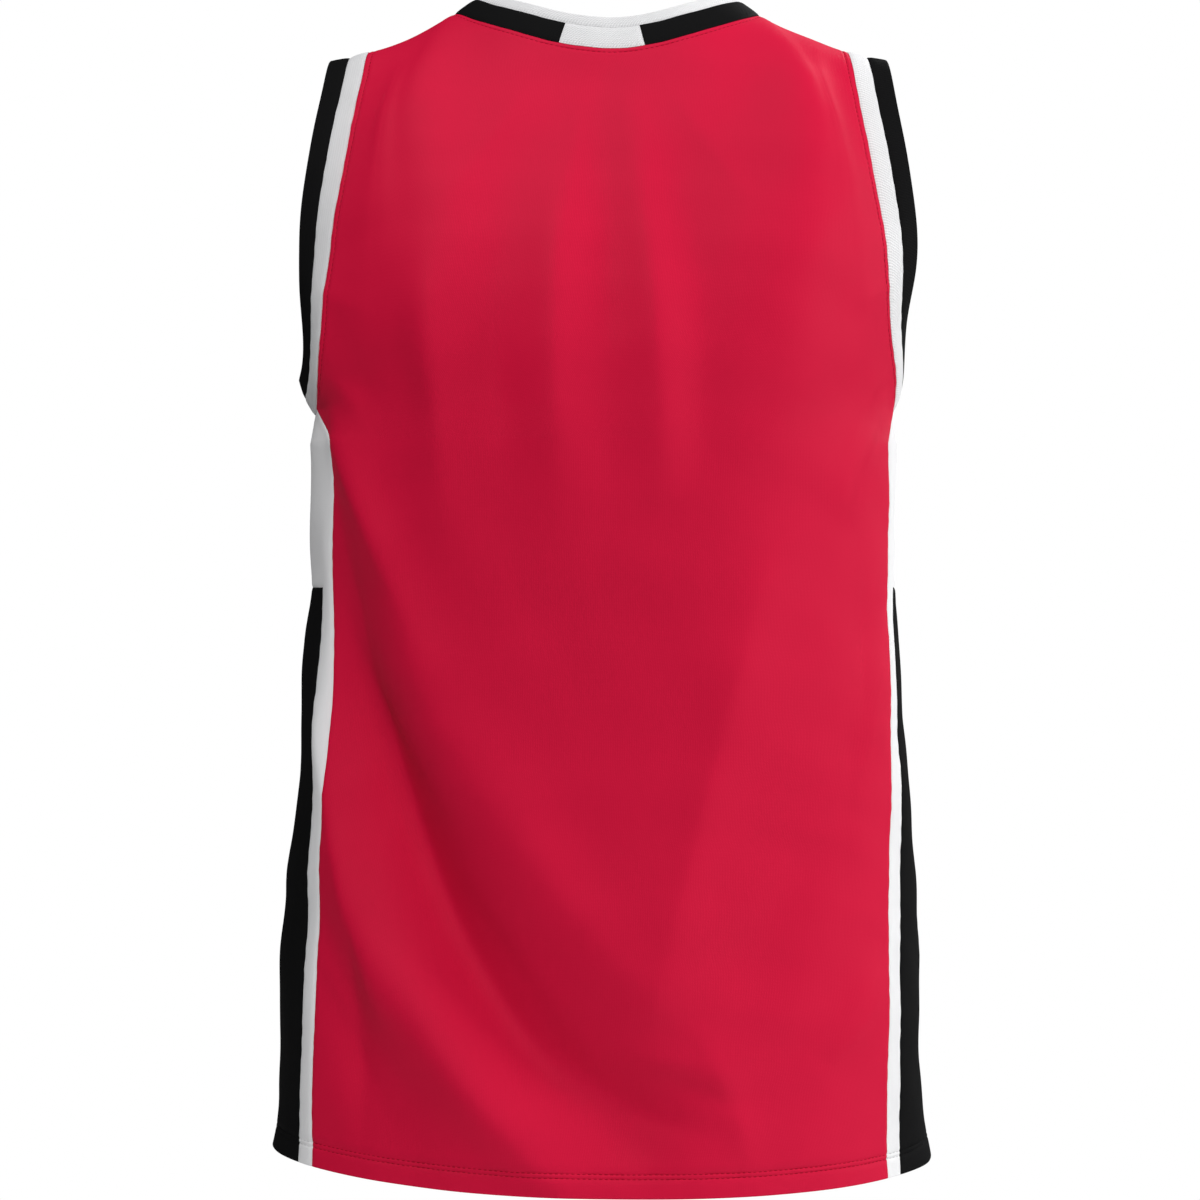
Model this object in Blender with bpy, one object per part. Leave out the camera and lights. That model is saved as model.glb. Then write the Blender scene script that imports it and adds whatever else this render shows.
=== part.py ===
"""Basketball jersey, cut from knit panels and sewn, hanging in the round as it does when worn.

The back faces +Y, the front -Y, the wearer's left is +X and +Z is up. The origin lies between the
two shoulder straps, level with their high points at the neck. Every piece is a wall of cloth: its
middle surface is a grid of points, thickened along the normals, and it stops just short of each
neighbour's edge. Grids of neighbours share their seam points, so the seams match all along.
"""
import math

import bpy
import numpy as np

# ---- driving dimensions, in metres and degrees ----
CLOTH = 0.002                # wall thickness of every piece
SEAM_GAP = 0.0003            # clearance between two pieces along a seam
ARM_STRIP = 0.0135           # width of each of the two strips round an armhole
NECK_BAND = 0.016            # width of the neck's black band
NECK_EDGE = 0.008            # width of the white strip on top of the neck band
SIDE_STRIP = 0.015           # white border between the side insert and each side seam
GUSSET_Z = -0.287            # level where the side panels reach their full width
INSERT_Z = -0.382            # level of the side inserts' top edge
HEM_Z = -0.7611              # hem: mean height, then its rise to the left and its rise at both sides
HEM_TILT = 0.0046
HEM_ARCH = 0.0045
ROUNDNESS = 2.2              # exponent of the torso's superellipse, 2 being an ellipse

# The torso from the gusset level down. Seam is the angle from the side to a side seam, and turn is
# how far the whole cut has worked round the body towards the wearer's right.
TORSO_COLUMNS = ("z", "half_width", "front", "back", "centre", "seam", "turn")
TORSO = (
    (-0.287, 0.1957, 0.1260, 0.1235, -0.0022, 22.2, 5.4),
    (-0.333, 0.1948, 0.1270, 0.1200, -0.0014, 21.0, 5.8),
    (-0.382, 0.1948, 0.1260, 0.1160, -0.0020, 20.9, 3.8),
    (-0.441, 0.1995, 0.1240, 0.1130, -0.0010, 23.7, 3.0),
    (-0.508, 0.2039, 0.1220, 0.1130, -0.0020, 27.1, 2.5),
    (-0.578, 0.2087, 0.1220, 0.1170, -0.0012, 29.3, 1.7),
    (-0.637, 0.2128, 0.1240, 0.1220, 0.0000, 31.0, 1.3),
    (-0.700, 0.2137, 0.1270, 0.1260, 0.0002, 31.3, 0.8),
    (-0.740, 0.2155, 0.1290, 0.1280, 0.0003, 32.0, 0.6),
    (-0.770, 0.2215, 0.1315, 0.1315, 0.0002, 34.1, 0.4),
)

# The armhole seam, from the shoulder tip down to the gusset. Flare is how much of the inner and of
# the outer strip's width runs outward, away from the body; the rest runs in over the opening.
ARMHOLE_COLUMNS = ("z", "x", "y", "inner_flare", "outer_flare")
ARMHOLE = (
    (-0.0243, 0.1593, 0.000, 0.93, 0.98),
    (-0.0270, 0.1600, 0.012, 0.93, 0.98),
    (-0.0360, 0.1615, 0.024, 0.91, 0.98),
    (-0.0560, 0.1640, 0.038, 0.92, 0.98),
    (-0.1076, 0.1708, 0.058, 0.96, 0.93),
    (-0.1455, 0.1778, 0.067, 0.86, 0.90),
    (-0.1772, 0.1820, 0.071, 0.75, 0.76),
    (-0.2035, 0.1846, 0.069, 0.60, 0.52),
    (-0.2217, 0.1862, 0.063, 0.42, 0.34),
    (-0.2400, 0.1880, 0.053, 0.24, 0.26),
    (-0.2550, 0.1902, 0.039, 0.32, 0.36),
    (-0.2646, 0.1918, 0.022, 0.60, 0.42),
)
ARMHOLE_CUT_IN = 0.004       # the front armhole is cut this much further in than the back one
GUSSET_DIP = 0.0030          # how far the middle of a gusset's top edge lies below its ends
# The upper half sways sideways: its shift at three shares of the way down to the gusset level.
YOKE_LEVELS = (0.30, 0.65, 0.85)
YOKE_CENTRE = (-0.0055, -0.0011, -0.0030)
YOKE_TURN = 3.3              # twist at the gusset level, fading out towards the shoulders

NECK_CENTRE = -0.005
NECK_RADIUS = 0.1015         # half the width between the two neck points
STRAP_CURVE = 1.35           # exponent of the strap's rise from shoulder tip to neck point
NECK_POINT_RISE = 0.60       # how steeply the cloth climbs inward at a neck point
# Neckline of each face: how far it reaches in plan, how far it drops, the exponent of the drop
# across the width, and how steeply the cloth climbs at its middle.
NECKLINE_COLUMNS = ("face", "reach", "drop", "curve", "rise")
NECKLINE = {
    1: dict(zip(NECKLINE_COLUMNS, ("back", 0.055, 0.0302, 1.75, 1.33))),
    -1: dict(zip(NECKLINE_COLUMNS, ("front", 0.100, 0.1150, 2.70, 1.70))),
}
EDGE_REACH = 0.45            # share of a panel's width that bends to meet its armhole edge
COLUMN_EASE = 1.4            # exponent that keeps a panel's rows level with its armhole seam
CORNER_BEND = 1.2            # how much the cloth still runs forward where it reaches a neck point
CORNER_REACH = 45.0          # degrees of neckline over which that fades
FULLNESS_STRAP = (1.35, 1.05)      # handle lengths of a column's curve, at its foot and at its top
FULLNESS_CENTRE = (1.22, 1.22)

# Grid cells of the pieces
STRAP_CELLS = 5
NECK_SIDE_CELLS = 7
BLOCK_CELLS = 3              # across the white block at the middle of the back neck
BLOCK_SPAN = (71.7, 103.9)   # degrees of neckline at the block's two ends
HEM_CELLS = 18               # rows from the hem to the inserts' top edge
BELT_CELLS = 4               # rows from there to the gusset level
GUSSET_CELLS = 2
YOKE_CELLS = 15              # rows along an armhole
INSERT_CELLS = 5             # columns across an insert
GUSSET_SHARE = 0.13          # share of a panel's upper columns beside the gusset

# Main folds. Each runs along a curve from its start towards its bend and to its end, given by the
# angle round the body (0 left side, 90 back, 180 right side, 270 front) and the height. Depth is
# positive for a ridge and negative for a trough.
FOLD_COLUMNS = ("a0", "z0", "a1", "z1", "a2", "z2", "width", "depth")
FOLDS = (
    # back: the long trough from under the left arm down to the hem, and the ridges beside it
    (15, -0.374, 62, -0.545, 96, -0.722, 0.028, -0.0095),
    (34, -0.555, 61, -0.641, 84, -0.755, 0.024, 0.0075),
    (24, -0.255, 43, -0.325, 62, -0.475, 0.014, 0.0040),
    (20, -0.440, 35, -0.530, 54, -0.680, 0.013, 0.0035),
    (34, -0.610, 46, -0.680, 60, -0.745, 0.022, -0.0045),
    # back: soft folds that hang from the shoulders
    (54, -0.100, 60, -0.200, 58, -0.330, 0.020, 0.0024),
    (69, -0.100, 73, -0.200, 72, -0.340, 0.018, -0.0024),
    (81, -0.070, 82, -0.200, 82, -0.340, 0.018, 0.0020),
    (92, -0.060, 92, -0.200, 92, -0.340, 0.018, -0.0024),
    (99, -0.080, 99, -0.200, 102, -0.320, 0.014, 0.0022),
    (109, -0.100, 108, -0.200, 108, -0.330, 0.017, -0.0024),
    (133, -0.120, 124, -0.220, 120, -0.330, 0.026, 0.0030),
    (28, -0.130, 38, -0.210, 56, -0.300, 0.028, -0.0040),
    # back: the long ridge from under the right arm towards the middle of the hem, and its trough
    (135, -0.310, 104, -0.430, 92, -0.665, 0.030, 0.0050),
    (162, -0.240, 146, -0.290, 138, -0.350, 0.014, 0.0035),
    (158, -0.390, 150, -0.460, 142, -0.540, 0.018, 0.0035),
    (128, -0.530, 121, -0.590, 117, -0.660, 0.024, -0.0035),
    (148, -0.610, 140, -0.650, 130, -0.690, 0.016, 0.0030),
    # front
    (212, -0.330, 232, -0.500, 282, -0.700, 0.030, -0.0070),
    (216, -0.470, 236, -0.620, 275, -0.735, 0.026, 0.0050),
    (332, -0.320, 312, -0.440, 296, -0.600, 0.028, -0.0060),
    (326, -0.430, 310, -0.560, 300, -0.710, 0.024, 0.0045),
    (246, -0.160, 248, -0.230, 244, -0.330, 0.024, -0.0035),
    (296, -0.150, 294, -0.230, 298, -0.340, 0.022, -0.0035),
    (270, -0.200, 272, -0.300, 268, -0.420, 0.026, 0.0030),
    (338, -0.550, 332, -0.640, 320, -0.740, 0.022, -0.0040),
    (200, -0.560, 206, -0.650, 214, -0.740, 0.022, 0.0040),
)
FOLD_SAMPLES = 24

COLOURS = {"red": (0.52, 0.012, 0.045), "white": (0.80, 0.80, 0.81), "black": (0.008, 0.008, 0.009)}


# ---- numbers to shapes ----
def table(columns, rows):
    """Turn rows of numbers into one array for each named column."""
    return dict(zip(columns, np.array(rows, float).T))


def smooth(knots, values, at):
    """Cubic Hermite curve through the values, with finite-difference slopes, held at both ends."""
    slopes = np.gradient(values, knots)
    low = np.clip(np.searchsorted(knots, at) - 1, 0, len(knots) - 2)
    step = knots[low + 1] - knots[low]
    t = np.clip((at - knots[low]) / step, 0.0, 1.0)
    start = (1 + 2 * t) * (1 - t) ** 2 * values[low] + t * (1 - t) ** 2 * step * slopes[low]
    end = t * t * (3 - 2 * t) * values[low + 1] - t * t * (1 - t) * step * slopes[low + 1]
    return start + end


def unit(vectors):
    """Scale vectors to length 1."""
    return vectors / np.linalg.norm(vectors, axis=-1, keepdims=True)


def stack(x, y, z):
    """Join coordinates of any matching shapes into points."""
    return np.stack(np.broadcast_arrays(x, y, z), axis=-1)


def mix(start, end, share):
    """Straight mix of two arrays of points."""
    return start + (end - start) * np.asarray(share)[..., None]


TORSO_TABLE = table(TORSO_COLUMNS, TORSO[::-1])
ARMHOLE_TABLE = table(ARMHOLE_COLUMNS, ARMHOLE)


def torso(name, z):
    """One column of the torso table at any height."""
    return smooth(TORSO_TABLE["z"], TORSO_TABLE[name], z)


def torso_point(angle, z):
    """Superellipse ring at height z: x follows cos and y follows sin, both to the power 2 / n."""
    power = 2.0 / ROUNDNESS
    cosine, sine = np.cos(angle), np.sin(angle)
    depth = np.where(sine > 0, torso("back", z), torso("front", z))
    x = torso("centre", z) + torso("half_width", z) * np.sign(cosine) * np.abs(cosine) ** power
    return stack(x, depth * np.sign(sine) * np.abs(sine) ** power, z)


def side_share(z, distance):
    """Angle that a distance along the ring takes up at the side seam, in degrees."""
    seam = np.radians(torso("seam", z))
    speed = np.hypot(torso("half_width", z) * np.sin(seam), torso("back", z) * np.cos(seam))
    return np.degrees(distance / speed)


def skirt(u, w, column_angle):
    """Lower torso: w runs 0 to 1 from the hem to the gusset level, u across the piece.

    column_angle(u, z) gives the column's angle. The hem's height is a mean, plus a tilt that
    follows cos of the angle, plus an arch that follows cos of twice the angle.
    """
    at_insert = HEM_CELLS / (HEM_CELLS + BELT_CELLS)
    near_hem = np.radians(column_angle(u, np.full_like(u, HEM_Z)))
    hem = HEM_Z + HEM_TILT * np.cos(near_hem) + HEM_ARCH * np.cos(2 * near_hem)
    below = hem + (INSERT_Z - hem) * w / at_insert
    above = INSERT_Z + (GUSSET_Z - INSERT_Z) * (w - at_insert) / (1 - at_insert)
    z = np.where(w < at_insert, below, above)
    return torso_point(np.radians(column_angle(u, z)), z)


def panel_angle(face):
    """Column angles of the back (face 1) or the front (face -1), seam to seam."""
    start = 0.0 if face > 0 else 180.0
    return lambda u, z: start + torso("turn", z) + torso("seam", z) * (1 - 2 * u) + 180.0 * u


def side_angle(side):
    """Column angles of a side panel, from its first seam to its second."""
    middle = 0.0 if side > 0 else 180.0

    def angle(u, z):
        # the outer columns hold the white strips, and the rest of the width is shared evenly
        edge = side_share(z, SIDE_STRIP)
        seam = torso("seam", z)
        cells = np.abs(2 * u - 1) * (INSERT_CELLS / 2 + 1)
        inner = cells / (INSERT_CELLS / 2) * (seam - edge)
        outer = seam - edge + (cells - INSERT_CELLS / 2) * edge
        offset = np.where(cells < INSERT_CELLS / 2, inner, outer)
        return middle + torso("turn", z) + np.sign(u - 0.5) * offset

    return angle


# ---- the upper half of front and back ----
def yoke_shift(points):
    """Move points of the upper edges with the garment's sway and its fading twist."""
    height = np.clip((-0.03 - points[..., 2]) / (-0.03 - GUSSET_Z), 0.0, 1.0)
    turn = np.radians(YOKE_TURN) * height
    centre = np.interp(height, YOKE_LEVELS, YOKE_CENTRE)
    x = centre + points[..., 0] * np.cos(turn) - points[..., 1] * np.sin(turn)
    y = points[..., 1] * np.cos(turn) + points[..., 0] * np.sin(turn)
    return stack(x, y, points[..., 2])


def armhole_curve(side, face):
    """Points of the armhole seam from the gusset up to the shoulder tip, with their arc shares."""
    rows = np.arange(len(ARMHOLE), dtype=float)
    at = np.linspace(rows[-1], 0.0, 161)
    z, x, y = (smooth(rows, ARMHOLE_TABLE[name], at) for name in ("z", "x", "y"))
    cut_in = ARMHOLE_CUT_IN * np.sin(np.pi * at / rows[-1]) if face < 0 else 0.0
    points = yoke_shift(stack(side * (x - cut_in), face * y, z))
    run = np.concatenate([[0.0], np.cumsum(np.linalg.norm(np.diff(points, axis=0), axis=1))])
    return points, run / run[-1]


def armhole_edge(side, face, v):
    """Outer edge of a panel's upper half: straight up the gusset seam, then along the armhole."""
    points, shares = armhole_curve(side, face)
    seam_u = np.array([0.0 if side == face else 1.0])
    foot = skirt(seam_u, np.ones(1), panel_angle(face))[0]
    gusset = mix(foot, points[0], np.clip(v / GUSSET_SHARE, 0.0, 1.0))
    along = np.clip((v - GUSSET_SHARE) / (1 - GUSSET_SHARE), 0.0, 1.0)
    arm = np.stack([np.interp(along, shares, points[:, axis]) for axis in range(3)], axis=-1)
    return np.where((v < GUSSET_SHARE)[..., None], gusset, arm)


def neck_point(theta, face):
    """Neckline: an ellipse in plan that drops with a power of the distance from the middle."""
    shape = NECKLINE[face]
    x = NECK_CENTRE + face * NECK_RADIUS * np.cos(theta)
    z = -shape["drop"] * (1 - np.abs(np.cos(theta)) ** shape["curve"])
    return stack(x, face * shape["reach"] * np.sin(theta), z)


def neck_climb(theta, face):
    """Direction in which the cloth crosses the neckline: inward in plan, and upward."""
    shape = NECKLINE[face]
    plan = unit(stack(-face * np.cos(theta) / NECK_RADIUS, -face * np.sin(theta) / shape["reach"], 0.0))
    rise = NECK_POINT_RISE + (shape["rise"] - NECK_POINT_RISE) * np.sin(theta) ** 2
    return unit(plan + stack(0.0, 0.0, rise))


def panel_cells():
    """Number of columns of cells across the front or the back."""
    return 2 * (STRAP_CELLS + NECK_SIDE_CELLS) + BLOCK_CELLS


def neck_angle(u):
    """Angle along the neckline for each share of the panel's width, even within each stretch."""
    cells = np.cumsum([STRAP_CELLS, NECK_SIDE_CELLS, BLOCK_CELLS, NECK_SIDE_CELLS])
    degrees = [0.0, *BLOCK_SPAN, 180.0]
    return np.radians(np.interp(u * panel_cells(), cells, degrees))


def top_edge(u, face):
    """Top of a panel: where each column ends, and the direction in which it gets there."""
    strap = STRAP_CELLS / panel_cells()
    side = np.where(u < 0.5, face, -face)
    share = np.clip(np.minimum(u, 1 - u) / strap, 0.0, 1.0)
    tip = armhole_curve(1, face)[0][-1] - (YOKE_CENTRE[0], 0.0, 0.0)
    centre = YOKE_CENTRE[0] + (NECK_CENTRE - YOKE_CENTRE[0]) * share
    x = centre + side * (tip[0] + (NECK_RADIUS - tip[0]) * share)
    ridge = stack(x, 0.0, tip[2] * (1 - share ** STRAP_CURVE))
    theta = neck_angle(u)
    on_strap = (share < 1.0)[..., None]
    point = np.where(on_strap, ridge, neck_point(theta, face))
    from_corner = np.minimum(theta, np.pi - theta) / np.radians(CORNER_REACH)
    forward = CORNER_BEND * np.clip(1 - from_corner, 0.0, 1.0) ** 2
    inward = neck_climb(theta, face) * (share ** 2)[..., None]
    return point, unit(inward + stack(0.0, -face * forward, 0.0))


def yoke(u, v, face):
    """Upper half of a panel: each column is a cubic curve from the gusset level to the top edge.

    It leaves the lower torso smoothly and arrives in the top edge's own direction. Columns near an
    armhole are then drawn to its seam, by a share that fades with the square of the distance. What
    runs along the cloth at the seam runs along the cloth at each column, so that nothing dents.
    """
    angle = panel_angle(face)
    step = 0.01

    def column(u, v):
        foot = skirt(u, np.ones_like(u), angle)
        rise = foot - skirt(u, np.full_like(u, 1 - step), angle)
        top, arrive = top_edge(u, face)
        chord = np.linalg.norm(top - foot, axis=-1)
        middle = np.sin(neck_angle(u)) ** 2
        leave_length = (FULLNESS_STRAP[0] + (FULLNESS_CENTRE[0] - FULLNESS_STRAP[0]) * middle) * chord
        arrive_length = (FULLNESS_STRAP[1] + (FULLNESS_CENTRE[1] - FULLNESS_STRAP[1]) * middle) * chord
        leave = rise / rise[..., 2:] * leave_length[..., None]
        arrive = arrive * arrive_length[..., None]
        t = v[..., None] ** COLUMN_EASE
        foot_part = (1 + 2 * t) * (1 - t) ** 2 * foot + t * (1 - t) ** 2 * leave
        return foot_part + t * t * (3 - 2 * t) * top - t * t * (1 - t) * arrive

    points = column(u, v)
    frames = surface_frames(points)
    for edge_u, at_edge, side in ((0.0, slice(0, 1), face), (1.0, slice(-1, None), -face)):
        missing = armhole_edge(side, face, v) - points[:, at_edge]
        pull = np.clip(1 - np.abs(u - edge_u) / EDGE_REACH, 0.0, 1.0) ** 2
        for frame_axis in frames:
            part = np.sum(missing * frame_axis[:, at_edge], axis=-1)
            points = points + frame_axis * (part * pull)[..., None]
    return points


def surface_frames(points):
    """Three unit directions at each point of a grid: along its row, out of it and across both."""
    along = unit(np.gradient(points, axis=1))
    out = unit(np.cross(along, np.gradient(points, axis=0)))
    return along, out, np.cross(out, along)


# ---- folds ----
def fold_height(points):
    """Height of all folds at each point: a bell across each fold, fading along it to both ends."""
    z = points[..., 2]
    depth = np.where(points[..., 1] > 0, torso("back", z), torso("front", z))
    angle = np.arctan2(points[..., 1] / depth, points[..., 0] / torso("half_width", z))
    total = np.zeros(z.shape)
    s = np.linspace(0.0, 1.0, FOLD_SAMPLES)
    for row in FOLDS:
        fold = dict(zip(FOLD_COLUMNS, row))
        turn, rise = (
            (1 - s) ** 2 * fold[name + "0"] + 2 * s * (1 - s) * fold[name + "1"] + s ** 2 * fold[name + "2"]
            for name in "az")
        around = np.angle(np.exp(1j * (angle[..., None] - np.radians(turn))))
        across = 0.5 * (torso("half_width", z) + depth)[..., None] * around
        gap = np.hypot(across, z[..., None] - rise)
        nearest = s[np.argmin(gap, axis=-1)]
        fade = np.sin(np.pi * np.clip(nearest, 0.06, 0.94)) ** 0.7
        total += fold["depth"] * fade * np.exp(-(gap.min(axis=-1) / fold["width"]) ** 2)
    return total


def folded(points):
    """Push a grid of points out or in along its normals by the folds' height."""
    return points + grid_normals(points, False) * fold_height(points)[..., None]


# ---- grids of the pieces ----
def grid_normals(points, ring):
    """Outward normals of a grid whose columns run round the body and whose rows run upward."""
    if ring:
        across = np.roll(points, -1, axis=1) - np.roll(points, 1, axis=1)
    else:
        across = np.gradient(points, axis=1)
    return unit(np.cross(across, np.gradient(points, axis=0)))


def skirt_rows():
    """Shares of the lower torso's height at which its rows lie."""
    return np.linspace(0.0, 1.0, HEM_CELLS + BELT_CELLS + 1)


def gusset_rows():
    """Shares of the way up a gusset seam at which its rows lie."""
    return np.linspace(0.0, 1.0, GUSSET_CELLS + 1)[1:]


def panel_grid(face):
    """The whole front or back, from hem to shoulders and neckline."""
    u = np.linspace(0.0, 1.0, panel_cells() + 1)
    arm_rows = np.linspace(GUSSET_SHARE, 1.0, YOKE_CELLS + 1)[1:]
    v = np.concatenate([gusset_rows() * GUSSET_SHARE, arm_rows])
    lower = skirt(*np.meshgrid(u, skirt_rows()), panel_angle(face))
    upper = yoke(*np.meshgrid(u, v), face)
    return folded(np.concatenate([lower, upper]))


def gusset_top(u, side):
    """Top edge of a side panel: across the foot of the armhole, with a slight dip."""
    first = armhole_curve(side, -side)[0][0]
    last = armhole_curve(side, side)[0][0]
    return mix(first, last, u) - stack(0.0, 0.0, GUSSET_DIP * np.sin(np.pi * u))


def side_grid(side):
    """A side panel with its insert's place, from the hem to the foot of the armhole."""
    u = np.linspace(0.0, 1.0, INSERT_CELLS + 3)
    lower = skirt(*np.meshgrid(u, skirt_rows()), side_angle(side))
    upper = mix(lower[-1], gusset_top(u, side), gusset_rows()[:, None] * np.ones(len(u)))
    return folded(np.concatenate([lower, upper]))


def strip_rows(edge, direction, width):
    """A strip two cells wide beside an edge, running along the directions."""
    offsets = width * np.linspace(0.0, 1.0, 3)
    return edge[None] + direction[None] * offsets[:, None, None]


def across_edge(edge, direction, rounds):
    """Directions made square to a closed edge, then evened out along it."""
    along = unit(np.roll(edge, -1, axis=0) - np.roll(edge, 1, axis=0))
    for _ in range(rounds):
        direction = (np.roll(direction, 1, axis=0) + 2 * direction + np.roll(direction, -1, axis=0)) / 4
        direction = unit(direction - along * np.sum(direction * along, axis=-1, keepdims=True))
    return direction


def armhole_seam(side, grids):
    """Closed seam round an armhole: down one panel, across the gusset and up the other panel."""
    first = grids["front_panel"] if side > 0 else grids["back_panel"]
    last = grids["back_panel"] if side > 0 else grids["front_panel"]
    gusset = grids["side_panel_left"] if side > 0 else grids["side_panel_right"]
    down = first[-1:-YOKE_CELLS - 2:-1, -1]
    up = last[-YOKE_CELLS - 1:-1, 0]
    return np.concatenate([down, gusset[-1, 1:-1], up])


def armhole_strips(side, edge):
    """The inner and the outer strip of an armhole, one beyond the other.

    Each runs outward by its flare in the table, and in over the opening with what is left.
    """
    along = unit(np.roll(edge, -1, axis=0) - np.roll(edge, 1, axis=0))
    outward = np.array([float(side), 0.0, 0.0])
    inward = np.cross(outward, along)
    inward = unit(inward * np.sign(np.sum(inward * (edge.mean(axis=0) - edge), axis=-1, keepdims=True)))
    strips, start = [], edge
    for name in ("inner_flare", "outer_flare"):
        flare = smooth(ARMHOLE_TABLE["z"][::-1], ARMHOLE_TABLE[name][::-1], edge[:, 2])[:, None]
        direction = outward * flare + inward * np.sqrt(1 - flare ** 2)
        strips.append(strip_rows(start, across_edge(edge, direction, 4), ARM_STRIP))
        start = strips[-1][-1]
    return strips


def neck_loop(grids):
    """Closed neck seam, across the back from left to right and back round the front."""
    columns = slice(STRAP_CELLS, -STRAP_CELLS)
    angles = neck_angle(np.linspace(0.0, 1.0, panel_cells() + 1))[columns]
    edge = np.concatenate([grids[name][-1, columns][:-1] for name in ("back_panel", "front_panel")])
    direction = np.concatenate([neck_climb(angles, face)[:-1] for face in (1, -1)])
    return edge, across_edge(edge, direction, 3)


# ---- walls of cloth ----
def cell_faces(cells, rows, columns):
    """Corner indices of each kept cell, counter-clockwise from outside."""
    row, column = np.nonzero(cells)
    right = (column + 1) % columns
    corners = (row * columns + column, row * columns + right,
               (row + 1) * columns + right, (row + 1) * columns + column)
    return np.stack(corners, axis=1)


def border_edges(faces):
    """Edges that only one face uses, in that face's direction."""
    edges = np.concatenate([faces[:, [i, (i + 1) % 4]] for i in range(4)])
    known = {tuple(edge) for edge in edges.tolist()}
    return np.array([edge for edge in edges.tolist() if (edge[1], edge[0]) not in known])


def pull_in(points, normals, border, distance):
    """Move border points into their own piece, square to both edges that meet at each point."""
    start, end = border.T
    inward = unit(np.cross(normals[start], points[end] - points[start]))
    first, second = np.zeros_like(points), np.zeros_like(points)
    first[start] = inward
    second[end] = inward
    both = np.sum(first * second, axis=-1, keepdims=True)
    return points + distance * (first + second) / (1 + both)


def rim_triangles(border, points, below):
    """Close the wall's edge. Each rim cell is cut along the diagonal that leaves the outer corner
    of its higher end, so that two neighbours' rims are cut alike and stay parallel."""
    start, end = border.T
    higher = (points[start, 2] > points[end, 2])[:, None]
    falling = np.concatenate([np.stack([end, start, end + below], axis=1),
                              np.stack([start, start + below, end + below], axis=1)])
    rising = np.concatenate([np.stack([end, start, start + below], axis=1),
                             np.stack([end, start + below, end + below], axis=1)])
    return np.where(np.concatenate([higher, higher]), falling, rising)


def make_wall(name, piece, colour):
    """Thicken a grid to a closed wall of cloth and make it an object."""
    rows, columns = piece["points"].shape[:2]
    faces = cell_faces(piece["cells"], rows, columns)
    border = border_edges(faces)
    normals = piece["normals"].reshape(-1, 3)
    middle = pull_in(piece["points"].reshape(-1, 3), normals, border, SEAM_GAP / 2)
    used = np.unique(faces)
    place = np.full(len(middle), -1)
    place[used] = np.arange(len(used))
    shift = normals[used] * CLOTH / 2
    points = np.concatenate([middle[used] + shift, middle[used] - shift])
    outer = place[faces]
    inner = outer[:, ::-1] + len(used)
    rim = rim_triangles(place[border], points, len(used))
    mesh = bpy.data.meshes.new(name)
    mesh.from_pydata(points.tolist(), [], outer.tolist() + inner.tolist() + rim.tolist())
    mesh.shade_smooth()
    mesh.set_sharp_from_angle(angle=math.radians(50))
    mesh.materials.append(knit_material(colour))
    made = bpy.data.objects.new(name, mesh)
    bpy.context.scene.collection.objects.link(made)


def knit_material(colour):
    """Plain knit in one of the jersey's three colours, made once."""
    name = colour + "_knit"
    material = bpy.data.materials.get(name)
    if material is None:
        material = bpy.data.materials.new(name)
        material.use_nodes = True
        shader = material.node_tree.nodes["Principled BSDF"]
        shader.inputs["Base Color"].default_value = (*COLOURS[colour], 1.0)
        shader.inputs["Roughness"].default_value = 0.7
        shader.inputs["Metallic"].default_value = 0.0
    return material


def match_normals(pieces):
    """Average the normals of points that pieces share, so that both sides of a seam are parallel."""
    points = np.concatenate([piece["points"].reshape(-1, 3) for piece in pieces.values()])
    normals = np.concatenate([piece["normals"].reshape(-1, 3) for piece in pieces.values()])
    _, group = np.unique(np.round(points, 6), axis=0, return_inverse=True)
    group = group.reshape(-1)
    total = np.zeros((group.max() + 1, 3))
    np.add.at(total, group, normals)
    shared = unit(total)[group]
    start = 0
    for piece in pieces.values():
        count = piece["normals"].size // 3
        piece["normals"] = shared[start:start + count].reshape(piece["normals"].shape)
        start += count


def open_piece(points, cells=None):
    """A piece with two side edges, or with some of its cells cut away."""
    if cells is None:
        cells = np.ones((points.shape[0] - 1, points.shape[1] - 1), bool)
    return {"points": points, "normals": grid_normals(points, False), "cells": cells}


def ring_piece(points, keep=None):
    """A piece that closes on itself, or the part of such a ring that keep marks."""
    cells = np.ones((points.shape[0] - 1, points.shape[1]), bool)
    if keep is not None:
        cells &= keep[None, :]
    return {"points": points, "normals": grid_normals(points, True), "cells": cells}


def make_panels():
    """Grids of front, back and both sides, with their shared seams made equal."""
    grids = {"back_panel": panel_grid(1), "front_panel": panel_grid(-1),
             "side_panel_left": side_grid(1), "side_panel_right": side_grid(-1)}
    low = HEM_CELLS + BELT_CELLS + GUSSET_CELLS + 1
    seams = (("back_panel", 0, "side_panel_left", -1), ("back_panel", -1, "side_panel_right", 0),
             ("front_panel", 0, "side_panel_right", -1), ("front_panel", -1, "side_panel_left", 0))
    for panel, panel_column, side, side_column in seams:
        middle = (grids[panel][:low, panel_column] + grids[side][:low, side_column]) / 2
        grids[panel][:low, panel_column] = middle
        grids[side][:low, side_column] = middle
    straps = (slice(0, STRAP_CELLS + 1), slice(-STRAP_CELLS - 1, None))
    for strap, other in (straps, straps[::-1]):
        middle = (grids["back_panel"][-1, strap] + grids["front_panel"][-1, other][::-1]) / 2
        grids["back_panel"][-1, strap] = middle
        grids["front_panel"][-1, other] = middle[::-1]
    return grids


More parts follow.
